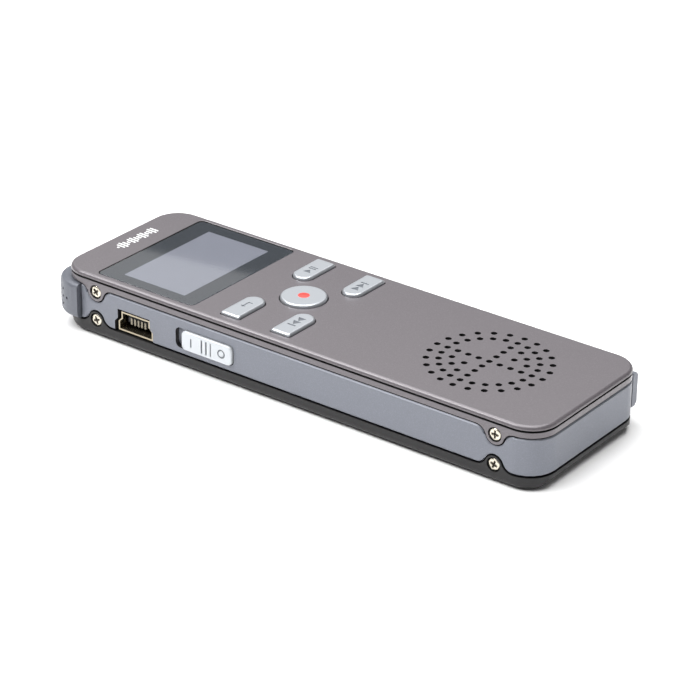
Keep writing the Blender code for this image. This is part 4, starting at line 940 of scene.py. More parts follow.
@dataclass(frozen=True)
class EarEdge:
    """The edge of a cover, which dips round its screws in smooth ears.

    Attributes:
        edge_z: Level of the straight edge.
        way: Which way the ears point, -1 down or 1 up.
        screw_z: Level of the screws.
        screw_y: The screws are this far either way from the middle.
        lobe: Radius of an ear's round end.
        fillet: Radius that joins it to the edge.
    """

    edge_z: float
    way: int
    screw_z: float
    screw_y: float
    lobe: float
    fillet: float

    def ear(self, grow: float, steps: int = 12) -> Outline:
        """One ear as (offset along the edge, distance past the edge), grown by a margin."""
        depth = abs(self.screw_z - self.edge_z) - grow
        lobe = self.lobe + grow
        fillet = self.fillet - grow
        turn = math.acos((fillet - depth) / (lobe + fillet))
        reach = (lobe + fillet) * math.sin(turn)
        side = [turn * i / steps for i in range(steps + 1)]
        rising = [(fillet * math.sin(t) - reach, fillet - fillet * math.cos(t)) for t in side]
        crown = [
            (lobe * math.sin(turn * i / steps), depth + lobe * math.cos(turn * i / steps))
            for i in range(1 - steps, steps)
        ]
        falling = [(-offset, past) for offset, past in reversed(rising)]
        return rising + crown + falling

    def closed(self, grow: float, beyond: bool, far: float = 70.0) -> Outline:
        """Outline of all that lies on one side of the grown edge.

        Args:
            grow: Margin from the cover's own edge.
            beyond: True for the side that the ears point to.
            far: How far the outline reaches.

        Returns:
            Its points as (y, z).
        """
        level = self.edge_z + self.way * grow
        back = level + (self.way if beyond else -self.way) * far / 4
        points = [(-far, back), (-far, level)]
        for middle in (-self.screw_y, self.screw_y):
            points += [(middle + offset, level + self.way * past) for offset, past in self.ear(grow)]
        return [*points, (far, level), (far, back)]


# ---- Front cover ------------------------------------------------------------------------------------
@dataclass
class FrontCover:
    """The front plate with its rolled lip, groove, ears, openings and speaker perforations.

    Attributes:
        groove_break: Chamfer under the groove.
        lip_break: Chamfer between the groove and the rolled lip.
        adhesive: Gap under the window for its adhesive.
        ledge: How far the plate reaches in under the window.
        mouth: Chamfer at the mouths of the openings.
        seat_gap: Gap between the plate and the speaker's seat, too thin to see.
    """

    case: Case
    wall: float = 1.2
    plate: float = 1.2
    skirt_inset: float = 0.06
    groove_drop: float = 0.8
    groove_width: float = 0.34
    groove_depth: float = 0.6
    groove_break: float = 0.06
    lip_break: float = 0.05
    lip_round: float = 0.7
    window_corner: float = 0.9
    adhesive: float = 0.14
    ledge: float = 1.1
    mouth: float = 0.06
    fit: float = 0.15
    hole_radius: float = 0.56
    hole_mouth: float = 0.63
    ring_pitch: float = 2.136
    rings: int = 5
    head_radius: float = 1.32
    head_seat: float = 0.98
    seat_wall: float = 0.9
    seat_height: float = 1.8
    seat_gap: float = 0.002

    def edge(self) -> EarEdge:
        """The skirt's lower edge."""
        screw = centre_of("screw_front_right_far")
        return EarEdge(self.case.frame_high + self.case.seam, -1, screw.z, screw.y, 1.8, 2.125)

    def build(self) -> bpy.types.Object:
        """Builds the cover's shell and cuts its openings.

        Returns:
            The cover as a plain closed mesh.
        """
        case = self.case
        top = case.top
        edge = self.edge()
        low = edge.screw_z - edge.lobe - 0.5
        groove_high = top - self.groove_drop
        groove_low = groove_high - self.groove_width
        profile = [
            (low, self.skirt_inset), (groove_low - self.groove_break, self.skirt_inset),
            (groove_low, self.skirt_inset + self.groove_break), (groove_low, self.groove_depth),
            (groove_high, self.groove_depth), (groove_high, self.lip_break),
            (groove_high + self.lip_break, 0.0),
        ]
        middle = (self.lip_round, top - self.lip_round)
        profile += [(z, inset) for inset, z in arc(middle, self.lip_round, 180, 90, 8)]
        cover = loft("front_shell", [raised(case.plan(inset), z) for z, inset in profile])
        hollow = prism("hollow", case.plan(self.wall), low - 1, top - self.plate)
        past = prism("past_edge", edge.closed(0.0, True), -REACH, REACH, Along.X)
        cutters = [hollow, past, *self.screw_cuts(edge), *self.openings(), *self.perforations()]
        for cutter in cutters:
            combine(cover, [cutter], "DIFFERENCE")
        return cover

    def seat(self) -> bpy.types.Object:
        """The ring moulded under the plate that holds the speaker, kept as a shell of its own."""
        speaker, half = plan_of("speaker_cloth")
        radius = half[0] + self.fit
        outer = radius + self.seat_wall
        foot = -self.seat_height
        ring = turned("speaker_seat", [(0, foot), (outer, foot), (outer, 0.0), (0, 0.0)])
        bore = turned("bore", [(0, foot - 1), (radius, foot - 1), (radius, 1.0), (0, 1.0)])
        combine(ring, [bore], "DIFFERENCE")
        under = self.case.top - self.plate - self.seat_gap
        ring.data.transform(Matrix.Translation(Vector((0, speaker[1], under)) * MM))
        return ring

    def screw_cuts(self, edge: EarEdge) -> list[bpy.types.Object]:
        """Counterbores for the screw heads."""
        points = []
        outward = []
        clear = 1.0
        length = clear + self.head_seat
        for side in (-1, 1):
            for y in (-edge.screw_y, edge.screw_y):
                points.append(Vector((side * (self.case.side + clear - length / 2), y, edge.screw_z)))
                outward.append(Vector((side, 0, 0)))
        radius = self.head_radius * MM
        sizes = {"Outer radius": radius, "Inner radius": radius, "Length": length * MM}
        return [Perforation("head_seats", sizes, sides=32).pins(points, outward)]

    def openings(self) -> list[bpy.types.Object]:
        """Cutters for the window's recess and opening and for the keys, with chamfered mouths."""
        top = self.case.top
        middle, half = plan_of("display_window")
        floor = corners_of("display_window")[0].z - self.adhesive

        def window(grow: float) -> Outline:
            """The window's outline, grown by a margin."""
            return round_rect(middle, (half[0] + grow, half[1] + grow), max(self.window_corner + grow, 0.2))

        def mouthed(foot: float, margin: float) -> list[tuple[float, float]]:
            """Levels and margins of a straight opening with a chamfered mouth."""
            wide = margin + self.mouth
            return [(foot, margin), (top - self.mouth, margin), (top, wide), (top + 1, wide)]

        return [
            flared("window_recess", window, mouthed(floor, self.fit)),
            flared("window_opening", window, [(floor - 3, -self.ledge), (floor + 0.5, -self.ledge)]),
            *(flared("opening_" + key.node, key.opening_outline, mouthed(top - 3, 0.0)) for key in KEYS),
        ]

    def perforations(self) -> list[bpy.types.Object]:
        """Cutters for the speaker holes and their countersunk mouths."""
        speaker = centre_of("speaker_cloth")
        top = self.case.top
        spots = grille_spots(self.rings, self.ring_pitch)
        up = [Vector((0, 0, 1))] * len(spots)
        kinds = (
            ("speaker_holes", self.hole_radius, self.hole_radius, 4.0, top - self.plate / 2),
            ("speaker_hole_mouths", self.hole_mouth, self.hole_radius * 0.9, 0.16, top - 0.03),
        )
        cutters = []
        for name, outer, inner, length, level in kinds:
            sizes = {"Outer radius": outer * MM, "Inner radius": inner * MM, "Length": length * MM}
            places = [Vector((x, y + speaker.y, level)) for x, y in spots]
            cutters.append(Perforation(name, sizes).pins(places, up))
        return cutters

    def takes_painted_shade(self, middle: Vector, normal: Vector) -> bool:
        """Whether a face gets painted black shade instead of lacquer: in the groove, the openings and holes,
        the recess floor, or inside.
        """
        inset = self.case.inset(middle)
        below_top = self.case.top - middle.z
        past_groove = self.groove_drop + self.groove_width
        upright = abs(normal.z) < 0.3
        sunk = inset > self.skirt_inset + 0.02
        opening = upright and inset > 1.0
        recess_floor = normal.z > 0.5 and below_top > 0.3
        grooved = sunk and self.groove_drop - 0.01 < below_top < past_groove + 0.01
        inside = below_top > self.groove_drop and (normal.z < -0.5 or (sunk and upright))
        return opening or recess_floor or grooved or inside

    def dress(self, cover: bpy.types.Object) -> bpy.types.Object:
        """Sprays the cover, paints black shade in its groove, openings, holes and inside, and registers it.
        """
        paint(smooth(cover), GUNMETAL.material(), PAINTED_SHADE.material())
        # Painted shade: near black in the groove, the openings, the hole walls, the window recess floor and
        # inside.
        repaint(cover, 1, self.takes_painted_shade)
        # Painted shade: the speaker seat seen through the holes is near black.
        settle(paint(self.seat(), PAINTED_SHADE.material()), "case")
        return settle(cover, "case", ["front_cover"])


# Holes in each of the grille's two outer rings.
FULL_RING = 24


def grille_spots(rings: int, pitch: float) -> Outline:
    """Centres of the speaker holes about the grille's middle.

    The two outer rings are full. The inner ones are full on the axes and filled in between only in two
    opposite quarters, with twice as many holes on each next ring.

    Args:
        rings: How many rings there are round the centre hole.
        pitch: Distance from ring to ring.

    Returns:
        The centres.
    """
    spots: Outline = [(0.0, 0.0)]
    for ring in range(1, rings + 1):
        outer = ring > rings - 2
        per_quarter = FULL_RING // 4 if outer else 2 ** (ring - 1)
        for quarter in range(4):
            filled = outer or quarter % 2 == 1
            for i in range(per_quarter if filled else 1):
                angle = math.radians(90 * (quarter + i / per_quarter))
                spots.append((ring * pitch * math.cos(angle), ring * pitch * math.sin(angle)))
    return spots


# ---- Keys -------------------------------------------------------------------------------------------
@dataclass
class Key:
    """One plated key: a cap with a soft crown, a bright rim and an engraved symbol.

    Attributes:
        node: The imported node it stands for.
        body: The body it rides on.
        symbol: What is engraved in it, or None for the round key.
        flange: How far its hidden flange stands out.
        flange_height: Height of that flange.
        fit: Gap between the cap and its opening.
        corner: Radius of the two outer corners.
        crown: Height of the rounded edge.
        crown_share: Width of the rounded edge, as a share of its height.
        plunger: Length of the plunger under the flange.
        engraving: Depth of the symbol.
        symbol_shift: How far the symbol lies from the key's middle towards the record key.
    """

    node: str
    body: str
    symbol: Symbol | None
    flange: float = 0.3
    flange_height: float = 0.6
    fit: float = 0.15
    corner: float = 0.35
    crown: float = 0.45
    crown_share: float = 0.9
    plunger: float = 0.45
    engraving: float = 0.12
    symbol_shift: float = 0.35

    def half_size(self) -> Point:
        """Half the cap's length and width without its hidden flange."""
        _, half = plan_of(self.node)
        return half[0] - self.flange, half[1] - self.flange

    def opening_outline(self, grow: float = 0.0) -> Outline:
        """The opening that the key stands in, grown by a margin."""
        return self.outline(grow + self.fit)

    def outline(self, grow: float = 0.0) -> Outline:
        """The cap's own outline, grown by a margin."""
        middle = centre_of(self.node)
        long, wide = self.half_size()
        if self.symbol is None:
            return arc((middle.x, middle.y), long + grow, 0, 357, 119)
        side = 1 if middle.x > 0 else -1
        half = wide + grow
        outer = long + grow
        inner = -(long - wide)
        small = self.corner + max(grow, 0.0)
        shape = [
            *arc((inner, 0), half, 90, 270, 24),
            *arc((outer - small, -half + small), small, 270, 360, 6),
            *arc((outer - small, half - small), small, 0, 90, 6),
        ]
        return [(middle.x + side * u, middle.y + side * v) for u, v in shape]

    def build(self) -> bpy.types.Object:
        """Builds the cap with its crowned edge, flange and engraved symbol."""
        low, high = corners_of(self.node)
        top = high.z
        flange_low = low.z + self.plunger
        flange_top = flange_low + self.flange_height
        levels = [
            (flange_low, self.flange), (flange_top, self.flange), (flange_top, 0.0), (top - self.crown, 0.0),
        ]
        levels += [
            (top - self.crown + self.crown * math.sin(t), -self.crown * self.crown_share * (1 - math.cos(t)))
            for t in (math.radians(15 * i) for i in range(1, 7))
        ]
        cap = flared(self.node + "_cap", self.outline, levels)
        if self.symbol is not None:
            combine(cap, self.strokes(top), "DIFFERENCE")
        return cap

    def strokes(self, top: float) -> list[bpy.types.Object]:
        """Cutters for the symbol's lines."""
        middle = centre_of(self.node)
        base = middle.x - math.copysign(self.symbol_shift, middle.x)
        long, wide = SYMBOL_SCALES[self.symbol]
        cutters = []
        for number, shape in enumerate(symbol_shapes(self.symbol)):
            outline = [(base + u * long, middle.y + v * wide) for u, v in shape]
            cutters.append(prism(f"{self.node}_stroke_{number}", outline, top - self.engraving, top + 0.5))
        return cutters

    def dress(self, cap: bpy.types.Object) -> bpy.types.Object:
        """Plates the cap: satin on top, bright on its rim and sides, grey in the engraving."""
        smooth(cap, 40)
        paint(cap, SATIN_PLATE.material(), BRIGHT_PLATE.material(), ENGRAVED.material())
        face_level = corners_of(self.node)[1].z - 0.02
        floor_level = face_level - self.engraving
        repaint(cap, 1, lambda middle, normal: normal.z <= FACING or middle.z <= floor_level)
        repaint(cap, 2, lambda middle, normal: normal.z > FACING and floor_level < middle.z <= face_level)
        return settle(cap, self.body, [self.node])


# How far each symbol is drawn out along X and along Y.
SYMBOL_SCALES = {
    Symbol.PLAY_PAUSE: (1.15, 1.15),
    Symbol.FORWARD: (1.4, 1.15),
    Symbol.BACKWARD: (1.4, 1.15),
    Symbol.RETURN: (1.15, 1.15),
}


def symbol_shapes(symbol: Symbol) -> list[Outline]:
    """Closed outlines of a key symbol's lines about its middle, before they are drawn out.

    Args:
        symbol: Which symbol.

    Returns:
        One outline for each separate line or filled shape.
    """
    line = 0.26
    half = 0.72
    point = 0.95

    def bar(x: float) -> Outline:
        """An upright line."""
        return [(x - line / 2, -half), (x + line / 2, -half), (x + line / 2, half), (x - line / 2, half)]

    def wedge(x: float, way: int) -> Outline:
        """A filled arrow head that starts at x and points either way."""
        points = [(x, -half), (x + way * point, 0.0), (x, half)]
        return points if way > 0 else list(reversed(points))

    if symbol is Symbol.PLAY_PAUSE:
        return [wedge(-1.15, 1), bar(0.35), bar(0.85)]
    if symbol is Symbol.FORWARD:
        return [wedge(-1.3, 1), wedge(-0.25, 1), bar(0.95)]
    if symbol is Symbol.BACKWARD:
        return [bar(-0.95), wedge(0.25, -1), wedge(1.3, -1)]
    bent_arrow = [
        (-0.9, 0.2), (-0.45, -0.25), (-0.45, 0.1), (0.75, 0.1), (0.75, -0.55), (0.95, -0.55), (0.95, 0.3),
        (-0.45, 0.3), (-0.45, 0.65),
    ]
    return [bent_arrow]


KEYS = (
    Key("key_play", "play_key", Symbol.PLAY_PAUSE),
    Key("key_next", "next_key", Symbol.FORWARD),
    Key("key_menu", "menu_key", Symbol.RETURN),
    Key("key_previous", "previous_key", Symbol.BACKWARD),
    Key("key_record", "record_key", None),
)


@dataclass
class RecordDot:
    """The enamel dot set in the round key: slightly crowned, with a soft edge."""

    crown: float = 0.05

    def build(self) -> bpy.types.Object:
        """Turns the dot."""
        low, high = corners_of("record_dot")
        middle, (radius, _) = plan_of("record_dot")
        rim = high.z - self.crown
        profile = [(0, low.z), (radius, low.z), (radius, rim)]
        profile += [(radius * math.cos(t), rim + self.crown * math.sin(t)) for t in (0.4, 0.8, 1.2)]
        dot = turned("record_enamel", [*profile, (0, high.z)])
        dot.data.transform(Matrix.Translation(Vector((*middle, 0)) * MM))
        return dot

    def dress(self, dot: bpy.types.Object) -> bpy.types.Object:
        """Fills it with red enamel."""
        return settle(paint(smooth(dot), RED_ENAMEL.material()), "record_key", ["record_dot"])


# ---- Rear cover -------------------------------------------------------------------------------------
@dataclass
class RearCover:
    """The back: a shallow tray whose long edges are round and whose ends turn up further."""

    case: Case
    wall: float = 1.2
    plate: float = 1.0
    side_round: float = 1.6
    end_round: float = 3.5
    end_rise: float = 2.4
    cavity_end: float = 2.2
    head_radius: float = 1.32
    head_seat: float = 0.98

    def edge(self) -> EarEdge:
        """The tray's upper edge."""
        screw = centre_of("screw_rear_right_far")
        return EarEdge(self.case.frame_low - self.case.seam, 1, screw.z, screw.y, 1.62, 2.225)

    def build(self) -> bpy.types.Object:
        """Builds the tray."""
        case = self.case
        edge = self.edge()
        high = edge.screw_z + edge.lobe + 0.5
        middle = (self.side_round, self.side_round)
        profile = [(z, inset) for inset, z in arc(middle, self.side_round, 270, 180, 10)]
        profile.append((high, 0.0))
        cover = loft("rear_shell", [raised(case.plan(inset), z) for z, inset in profile])
        combine(cover, [self.turned_up_ends(high)], "INTERSECT")
        hollow = prism(
            "hollow",
            round_rect((0, 0), (case.side - self.wall, case.end - self.cavity_end), case.corner - self.wall),
            self.plate, high + 1,
        )
        past = prism("past_edge", edge.closed(0.0, True), -REACH, REACH, Along.X)
        heads = FrontCover(case, head_radius=self.head_radius, head_seat=self.head_seat).screw_cuts(edge)
        return combine(cover, [hollow, past, *heads], "DIFFERENCE")

    def turned_up_ends(self, high: float) -> bpy.types.Object:
        """The side view that the tray is trimmed to."""
        end = self.case.end
        steps = 12
        quarter = [math.radians(90 * i / steps) for i in range(steps + 1)]
        far = [
            (end - self.end_round * (1 - math.sin(t)), self.end_rise * (1 - math.cos(t))) for t in quarter
        ]
        near = [(-y, z) for y, z in reversed(far)]
        return prism("ends", [*far, (end, high + 1), (-end, high + 1), *near], -REACH, REACH, Along.X)

    def dress(self, cover: bpy.types.Object) -> bpy.types.Object:
        """Sprays the tray with the darker copy of the lacquer as painted shade, and paints black shade on its
        inside and its rim.
        """
        # Painted shade: a darker copy of the lacquer all over, and near black on the rim and inside.
        paint(smooth(cover), SHADED_GUNMETAL.material(), PAINTED_SHADE.material())
        repaint(cover, 1, self.takes_painted_shade)
        return settle(cover, "case", ["rear_cover"])

    def takes_painted_shade(self, middle: Vector, normal: Vector) -> bool:
        """Whether a face gets painted black shade: on the rim or inside."""
        return normal.z > 0.5 or (self.case.inset(middle) > 0.5 and middle.z > self.plate + 0.2)


# ---- Frame between the covers -----------------------------------------------------------------------
@dataclass
class MidFrame:
    """The silver band between the covers, with a chamfer that follows the ears.

    Attributes:
        case: The case's outer sizes.
        front: The front cover's edge.
        rear: The rear cover's edge.
        chamfer: Width of the chamfer round the ears.
        skin: How deep from the outside the silver reaches.
        recess_behind: How far the slide's recess reaches past the knob towards -Y.
        recess_ahead: How far it reaches past the knob towards +Y.
        pocket_reach: Length of the corner that holds the strap pocket.
    """

    case: Case
    front: EarEdge
    rear: EarEdge
    chamfer: float = 0.22
    skin: float = 0.45
    recess_behind: float = 1.5
    recess_ahead: float = 2.5
    pocket_reach: float = 12.0

    def build(self) -> bpy.types.Object:
        """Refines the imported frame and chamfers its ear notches."""
        chamfers = [*self.notch_chamfers(self.front), *self.notch_chamfers(self.rear)]
        return combine(refined("mid_frame", "side_band"), chamfers, "DIFFERENCE")

    def notch_chamfers(self, edge: EarEdge) -> list[bpy.types.Object]:
        """Wedges that break the outer edge of the band round two ears, on both sides."""
        seam = self.case.seam
        side = self.case.side
        cutters = []
        for way in (-1, 1):
            levels = [
                (way * (side - self.chamfer), seam), (way * side, seam + self.chamfer),
                (way * (side + 0.5), seam + self.chamfer + 0.5),
            ]
            cutters.append(flared(f"notch_chamfer_{way}", lambda m: edge.closed(m, False), levels, Along.X))
        return cutters

    def dress(self, frame: bpy.types.Object) -> bpy.types.Object:
        """Sprays the band's outside silver; what faces the covers and the socket gets painted black shade."""
        paint(smooth(frame), SILVER.material(), PAINTED_SHADE.material())
        # Painted shade: all but the outer skin, the slide's recess and the strap pocket is near black, so the
        # seams and notches read dark.
        repaint(frame, 1, self.takes_painted_shade)
        return settle(frame, "case", ["mid_frame"])

    def takes_painted_shade(self, middle: Vector, normal: Vector) -> bool:
        """Whether a face gets painted black shade: the silver coats only the skin, the slide's recess and the
        strap pocket.
        """
        low, high = corners_of("power_knob")
        beside_knob = low.y - self.recess_behind < middle.y < high.y + self.recess_ahead
        at_corner = middle.x > 0 and middle.y < -self.case.end + self.pocket_reach
        skin = self.case.inset(middle) < self.skin and normal.dot(self.case.outward(middle)) > 0.3
        recess = middle.x < 0 and beside_knob and normal.x < -0.5
        pocket = at_corner and abs(normal.z) < 0.5
        return not (skin or recess or pocket)


@dataclass
class MicCap:
    """The bumper round the microphone end, pierced at both corners for the two microphones."""

    def build(self) -> bpy.types.Object:
        """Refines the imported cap."""
        return refined("mic_cap", "microphone_bumper")

    def dress(self, cap: bpy.types.Object) -> bpy.types.Object:
        """Sprays the cap dark silver."""
        return settle(paint(smooth(cap), BUMPER_SILVER.material()), "case", ["mic_cap"])


@dataclass
class LanyardBar:
    """The bar across the strap pocket, with softened edges."""

    round_mm: float = 0.18

    def build(self) -> bpy.types.Object:
        """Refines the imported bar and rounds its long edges."""
        bar = refined("lanyard_bar", "strap_bar")
        bevel = bar.modifiers.new("soft_edges", "BEVEL")
        bevel.width = self.round_mm * MM
        bevel.segments = 3
        bevel.limit_method = "ANGLE"
        bevel.angle_limit = math.radians(35)
        return plain(bar)

    def dress(self, bar: bpy.types.Object) -> bpy.types.Object:
        """Sprays the bar silver."""
        return settle(paint(smooth(bar), SILVER.material()), "case", ["lanyard_bar"])


# ---- Screws -----------------------------------------------------------------------------------------
@dataclass
class SideScrews:
    """Eight nickel-plated pan-head screws with cross recesses."""

    head_radius: float = 1.15
    head_height: float = 0.75
    shank_radius: float = 0.7
    length: float = 4.4
    cross_span: float = 1.4
    cross_width: float = 0.36
    cross_depth: float = 0.5
    cross_taper: float = 0.2
    turn_per_copy: float = 0.7

    def build(self) -> bpy.types.Object:
        """Turns one screw, cuts its cross and stands it on all eight places."""
        head = self.head_radius
        profile = [
            (0, -self.length), (0.3, -self.length), (self.shank_radius, -self.length + 0.5),
            (self.shank_radius, -self.head_height), (head, -self.head_height), (head, -0.3),
            (head * 0.96, -0.16), (head * 0.85, -0.06), (head * 0.6, -0.01), (0, 0.0),
        ]
        screw = turned("screw", profile, 36)
        long = self.cross_span / 2
        thin = self.cross_width / 2
        cross = [
            (thin, thin), (thin, long), (-thin, long), (-thin, thin), (-long, thin), (-long, -thin),
            (-thin, -thin), (-thin, -long), (thin, -long), (thin, -thin), (long, -thin), (long, thin),
        ]

        def sized(grow: float) -> Outline:
            """The cross, grown by a margin at its tips."""
            return [(u * (1 + grow / long), v * (1 + grow / long)) for u, v in cross]

        levels = [(-self.cross_depth, -self.cross_taper), (0.0, 0.0), (0.3, 0.06)]
        combine(screw, [flared("cross", sized, levels)], "DIFFERENCE")
        smooth(screw, 35)
        points = []
        outward = []
        for node in SCREW_NODES:
            low, high = corners_of(node)
            side = 1 if high.x > 0 else -1
            outer = high.x if side > 0 else low.x
            points.append(Vector((outer, (low.y + high.y) / 2, (low.z + high.z) / 2)))
            outward.append(Vector((side, 0, 0)))
        scatter = Scatter("side_screws", {"Turn per copy": self.turn_per_copy})
        return scatter.copies(screw, points, outward, NICKEL.material())

    def dress(self, screws: bpy.types.Object) -> bpy.types.Object:
        """Keeps the plating sharp at the cross, paints shade in the recesses and registers the set."""
        smooth(screws, 35)
        paint(screws, NICKEL.material(), RECESS_SHADE.material())
        # Painted shade: the faces inside each cross recess take the dark brown.
        repaint(screws, 1, self.in_a_cross)
        return settle(screws, "case", SCREW_NODES)

    def in_a_cross(self, middle: Vector, _normal: Vector) -> bool:
        """Whether a face lies in a screw's cross recess."""
        for low, high in map(corners_of, SCREW_NODES):
            off = math.hypot(middle.y - (low.y + high.y) / 2, middle.z - (low.z + high.z) / 2)
            depth = max(abs(low.x), abs(high.x)) - abs(middle.x)
            same_side = middle.x * (low.x + high.x) > 0
            if same_side and off < self.cross_span / 2 and 0.03 < depth < self.cross_depth + 0.05:
                return True
        return False


SCREW_NODES = [
    f"screw_{cover}_{hand}_{end}"
    for cover in ("front", "rear") for hand in ("left", "right") for end in ("near", "far")
]


# ---- Display ----------------------------------------------------------------------------------------
@dataclass
class Display:
    """The acrylic window, the black border under it, the picture's glass and the cell behind it.

    Attributes:
        view_low: Lower corner of the picture, seen from above.
        view_high: Its upper corner.
        view_corner: Radius of its corners.
        edge_round: Rounding of the window's upper edge.
        sheet: Thickness of the clear sheet.
        corner: Radius of the window's corners.
        joint: Gap between the sheet and the border.
        glass_fit: Gap between the border and the picture's glass.
    """

    view_low: Point = (-11.9, 25.65)
    view_high: Point = (11.7, 39.65)
    view_corner: float = 0.12
    edge_round: float = 0.05
    sheet: float = 0.14
    corner: float = 0.9
    joint: float = 0.005
    glass_fit: float = 0.01

    def view(self, name: str, shrink: float, low: float, high: float) -> bpy.types.Object:
        """A prism on the picture's outline, drawn in all round."""
        middle = tuple((a + b) / 2 for a, b in zip(self.view_low, self.view_high))
        half = tuple((b - a) / 2 - shrink for a, b in zip(self.view_low, self.view_high))
        return prism(name, round_rect(middle, half, self.view_corner, 4), low, high)

    def build(self) -> list[bpy.types.Object]:
        """Builds the window's sheet, its black border, the picture's glass and the cell."""
        low, high = corners_of("display_window")
        middle, half = plan_of("display_window")

        def plan(grow: float) -> Outline:
            """The window's outline, grown by a margin."""
            return round_rect(middle, (half[0] + grow, half[1] + grow), self.corner + grow)

        soft = self.edge_round
        under = high.z - self.sheet
        window = flared(
            "window_acrylic", plan,
            [(under, 0.0), (high.z - soft, 0.0), (high.z - soft * 0.3, -soft * 0.3), (high.z, -soft)],
        )
        border = flared("window_border", plan, [(low.z, 0.0), (under - self.joint, 0.0)])
        combine(border, [self.view("view", 0.0, low.z - 1, high.z + 1)], "DIFFERENCE")
        glass = self.view("lcd_front_glass", self.glass_fit, low.z, under - self.joint)
        return [window, border, glass, refined("lcd_panel", "lcd_cell")]

    def dress(self, made: list[bpy.types.Object]) -> None:
        """Clears the window, blackens the border and greys the cell."""
        window, border, glass, cell = made
        settle(paint(window, ClearAcrylic().material()), "case", ["display_window"])
        settle(paint(smooth(border), BLACK_MASK.material()), "case")
        settle(paint(glass, LCD_GLASS.material()), "case")
        settle(paint(cell, LCD_GLASS.material()), "case", ["lcd_panel"])


@dataclass
class SoundMark:
    """A small white sound-level mark printed above the window."""

    centre: Point = (0.85, 47.85)
    width: float = 10.3
    height: float = 2.3
    shortest: float = 0.5
    bar: float = 0.34
    ink: float = 0.02
    swing: float = 0.83
    count: int = 15

    def build(self) -> bpy.types.Object:
        """Prints the bars, with a little of the ink's thickness in the lacquer."""
        sizes = {
            "Pitch": (self.width - self.bar) / (self.count - 1) * MM, "Swing": self.swing,
            "Width": self.bar * MM, "Shortest": self.shortest * MM, "Longest": self.height * MM,
            "Thickness": self.ink * MM,
        }
        top = corners_of("front_cover")[1].z
        middle = Vector((*self.centre, top + self.ink * 0.4))
        return BarRow("sound_level_mark", sizes, self.count).bars(middle, WHITE_INK.material())

    def dress(self, mark: bpy.types.Object) -> bpy.types.Object:
        """Registers the print."""
        return settle(mark, "case")


# ---- Power slide ------------------------------------------------------------------------------------
@dataclass
class PowerSlide:
    """The sliding knob: three grip grooves between an on mark and an off mark, all filled with grey."""

    sunk: float = 0.08
    mark_offset: float = 3.4
    mark_half: float = 0.85
    ring_bore: float = 0.57
    line_half: float = 0.16

    def build(self) -> bpy.types.Object:
        """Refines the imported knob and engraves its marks."""
        low, high = corners_of("power_knob")
        knob = refined("power_knob", "power_slider")
        middle = ((low.y + high.y) / 2, (low.z + high.z) / 2)
        face = low.x
        off_centre = (middle[0] - self.mark_offset, middle[1])
        rim, bore = (arc(off_centre, radius, 0, 345, 23) for radius in (self.mark_half, self.ring_bore))
        ring = prism("off_mark", rim, face - 1, face + self.sunk, Along.X)
        combine(ring, [prism("off_core", bore, face - 2, face + 1, Along.X)], "DIFFERENCE")
        on_centre = (middle[0] + self.mark_offset, middle[1])
        stroke = round_rect(on_centre, (self.line_half, self.mark_half), 0.1, 4)
        line = prism("on_mark", stroke, face - 1, face + self.sunk, Along.X)
        return combine(knob, [ring, line], "DIFFERENCE")

    def dress(self, knob: bpy.types.Object) -> bpy.types.Object:
        """Sprays the knob satin, with grey in its grooves and marks."""
        paint(smooth(knob, 40), KNOB_SILVER.material(), ENGRAVED.material())
        outer = corners_of("power_knob")[0].x
        repaint(knob, 1, lambda middle, normal: normal.x < -0.9 and 0.04 < middle.x - outer < 0.5)
        return settle(knob, "power_slide", ["power_knob"])


# ---- Socket, jack and the inside --------------------------------------------------------------------
@dataclass
class Refined:
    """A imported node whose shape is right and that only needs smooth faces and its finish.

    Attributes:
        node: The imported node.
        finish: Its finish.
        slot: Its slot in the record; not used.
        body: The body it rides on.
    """

    node: str
    finish: Finish
    slot: str
    body: str = "case"

    def build(self) -> bpy.types.Object:
        """Copies the node as a merged mesh."""
        return refined(self.node, self.node + "_fine")

    def dress(self, piece: bpy.types.Object) -> bpy.types.Object:
        """Shades and finishes it."""
        return settle(paint(smooth(piece), self.finish.material()), self.body, [self.node])


def inside_pieces() -> list[Refined]:
    """Everything behind the covers and in the socket, with its finish."""
    pieces = [
        Refined("usb_shell", TIN_PLATE, "socket_steel"),
        Refined("usb_tongue", SOCKET_NYLON, "black_plastic"),
        Refined("earphone_jack", SOCKET_NYLON, "black_plastic"),
        Refined("speaker_cloth", ACOUSTIC_CLOTH, "cloth"),
        Refined("speaker_gasket", FOAM, "foam"),
        Refined("speaker_frame", SPRING_STEEL, "steel"),
        Refined("speaker_magnet", MAGNET_PLATE, "steel"),
        Refined("speaker_cone", CONE_FILM, "cone"),
        Refined("voice_coil", COPPER_WIRE, "copper"),
        Refined("window_adhesive", FOAM, "foam"),
        Refined("lcd_backlight", LIGHT_GUIDE, "backlight"),
        Refined("lcd_flex", FLEX_FILM, "copper"),
        Refined("keypad_membrane", RUBBER, "rubber"),
        Refined("main_board", BOARD_GREEN, "board"),
        Refined("processor_chip", CHIP_EPOXY, "black_plastic"),
        Refined("memory_chip", CHIP_EPOXY, "black_plastic"),
        Refined("crystal_can", SPRING_STEEL, "steel"),
        Refined("switch_body", SOCKET_NYLON, "black_plastic"),
        Refined("switch_lever", SPRING_STEEL, "steel", "power_slide"),
        Refined("battery_cell", POUCH_FOIL, "battery"),
        Refined("battery_guard_board", BOARD_GREEN, "board"),
        Refined("battery_pad", FOAM, "foam"),
    ]
    pieces += [Refined(f"usb_contact_{i}", GOLD_FLASH, "contacts") for i in range(1, 6)]
    pieces += [Refined("dome_" + key.node[4:], SPRING_STEEL, "steel") for key in KEYS]
    for hand in ("left", "right"):
        pieces.append(Refined(f"mic_capsule_{hand}", SPRING_STEEL, "steel"))
        pieces.append(Refined(f"mic_boot_{hand}", RUBBER, "rubber"))
    return pieces


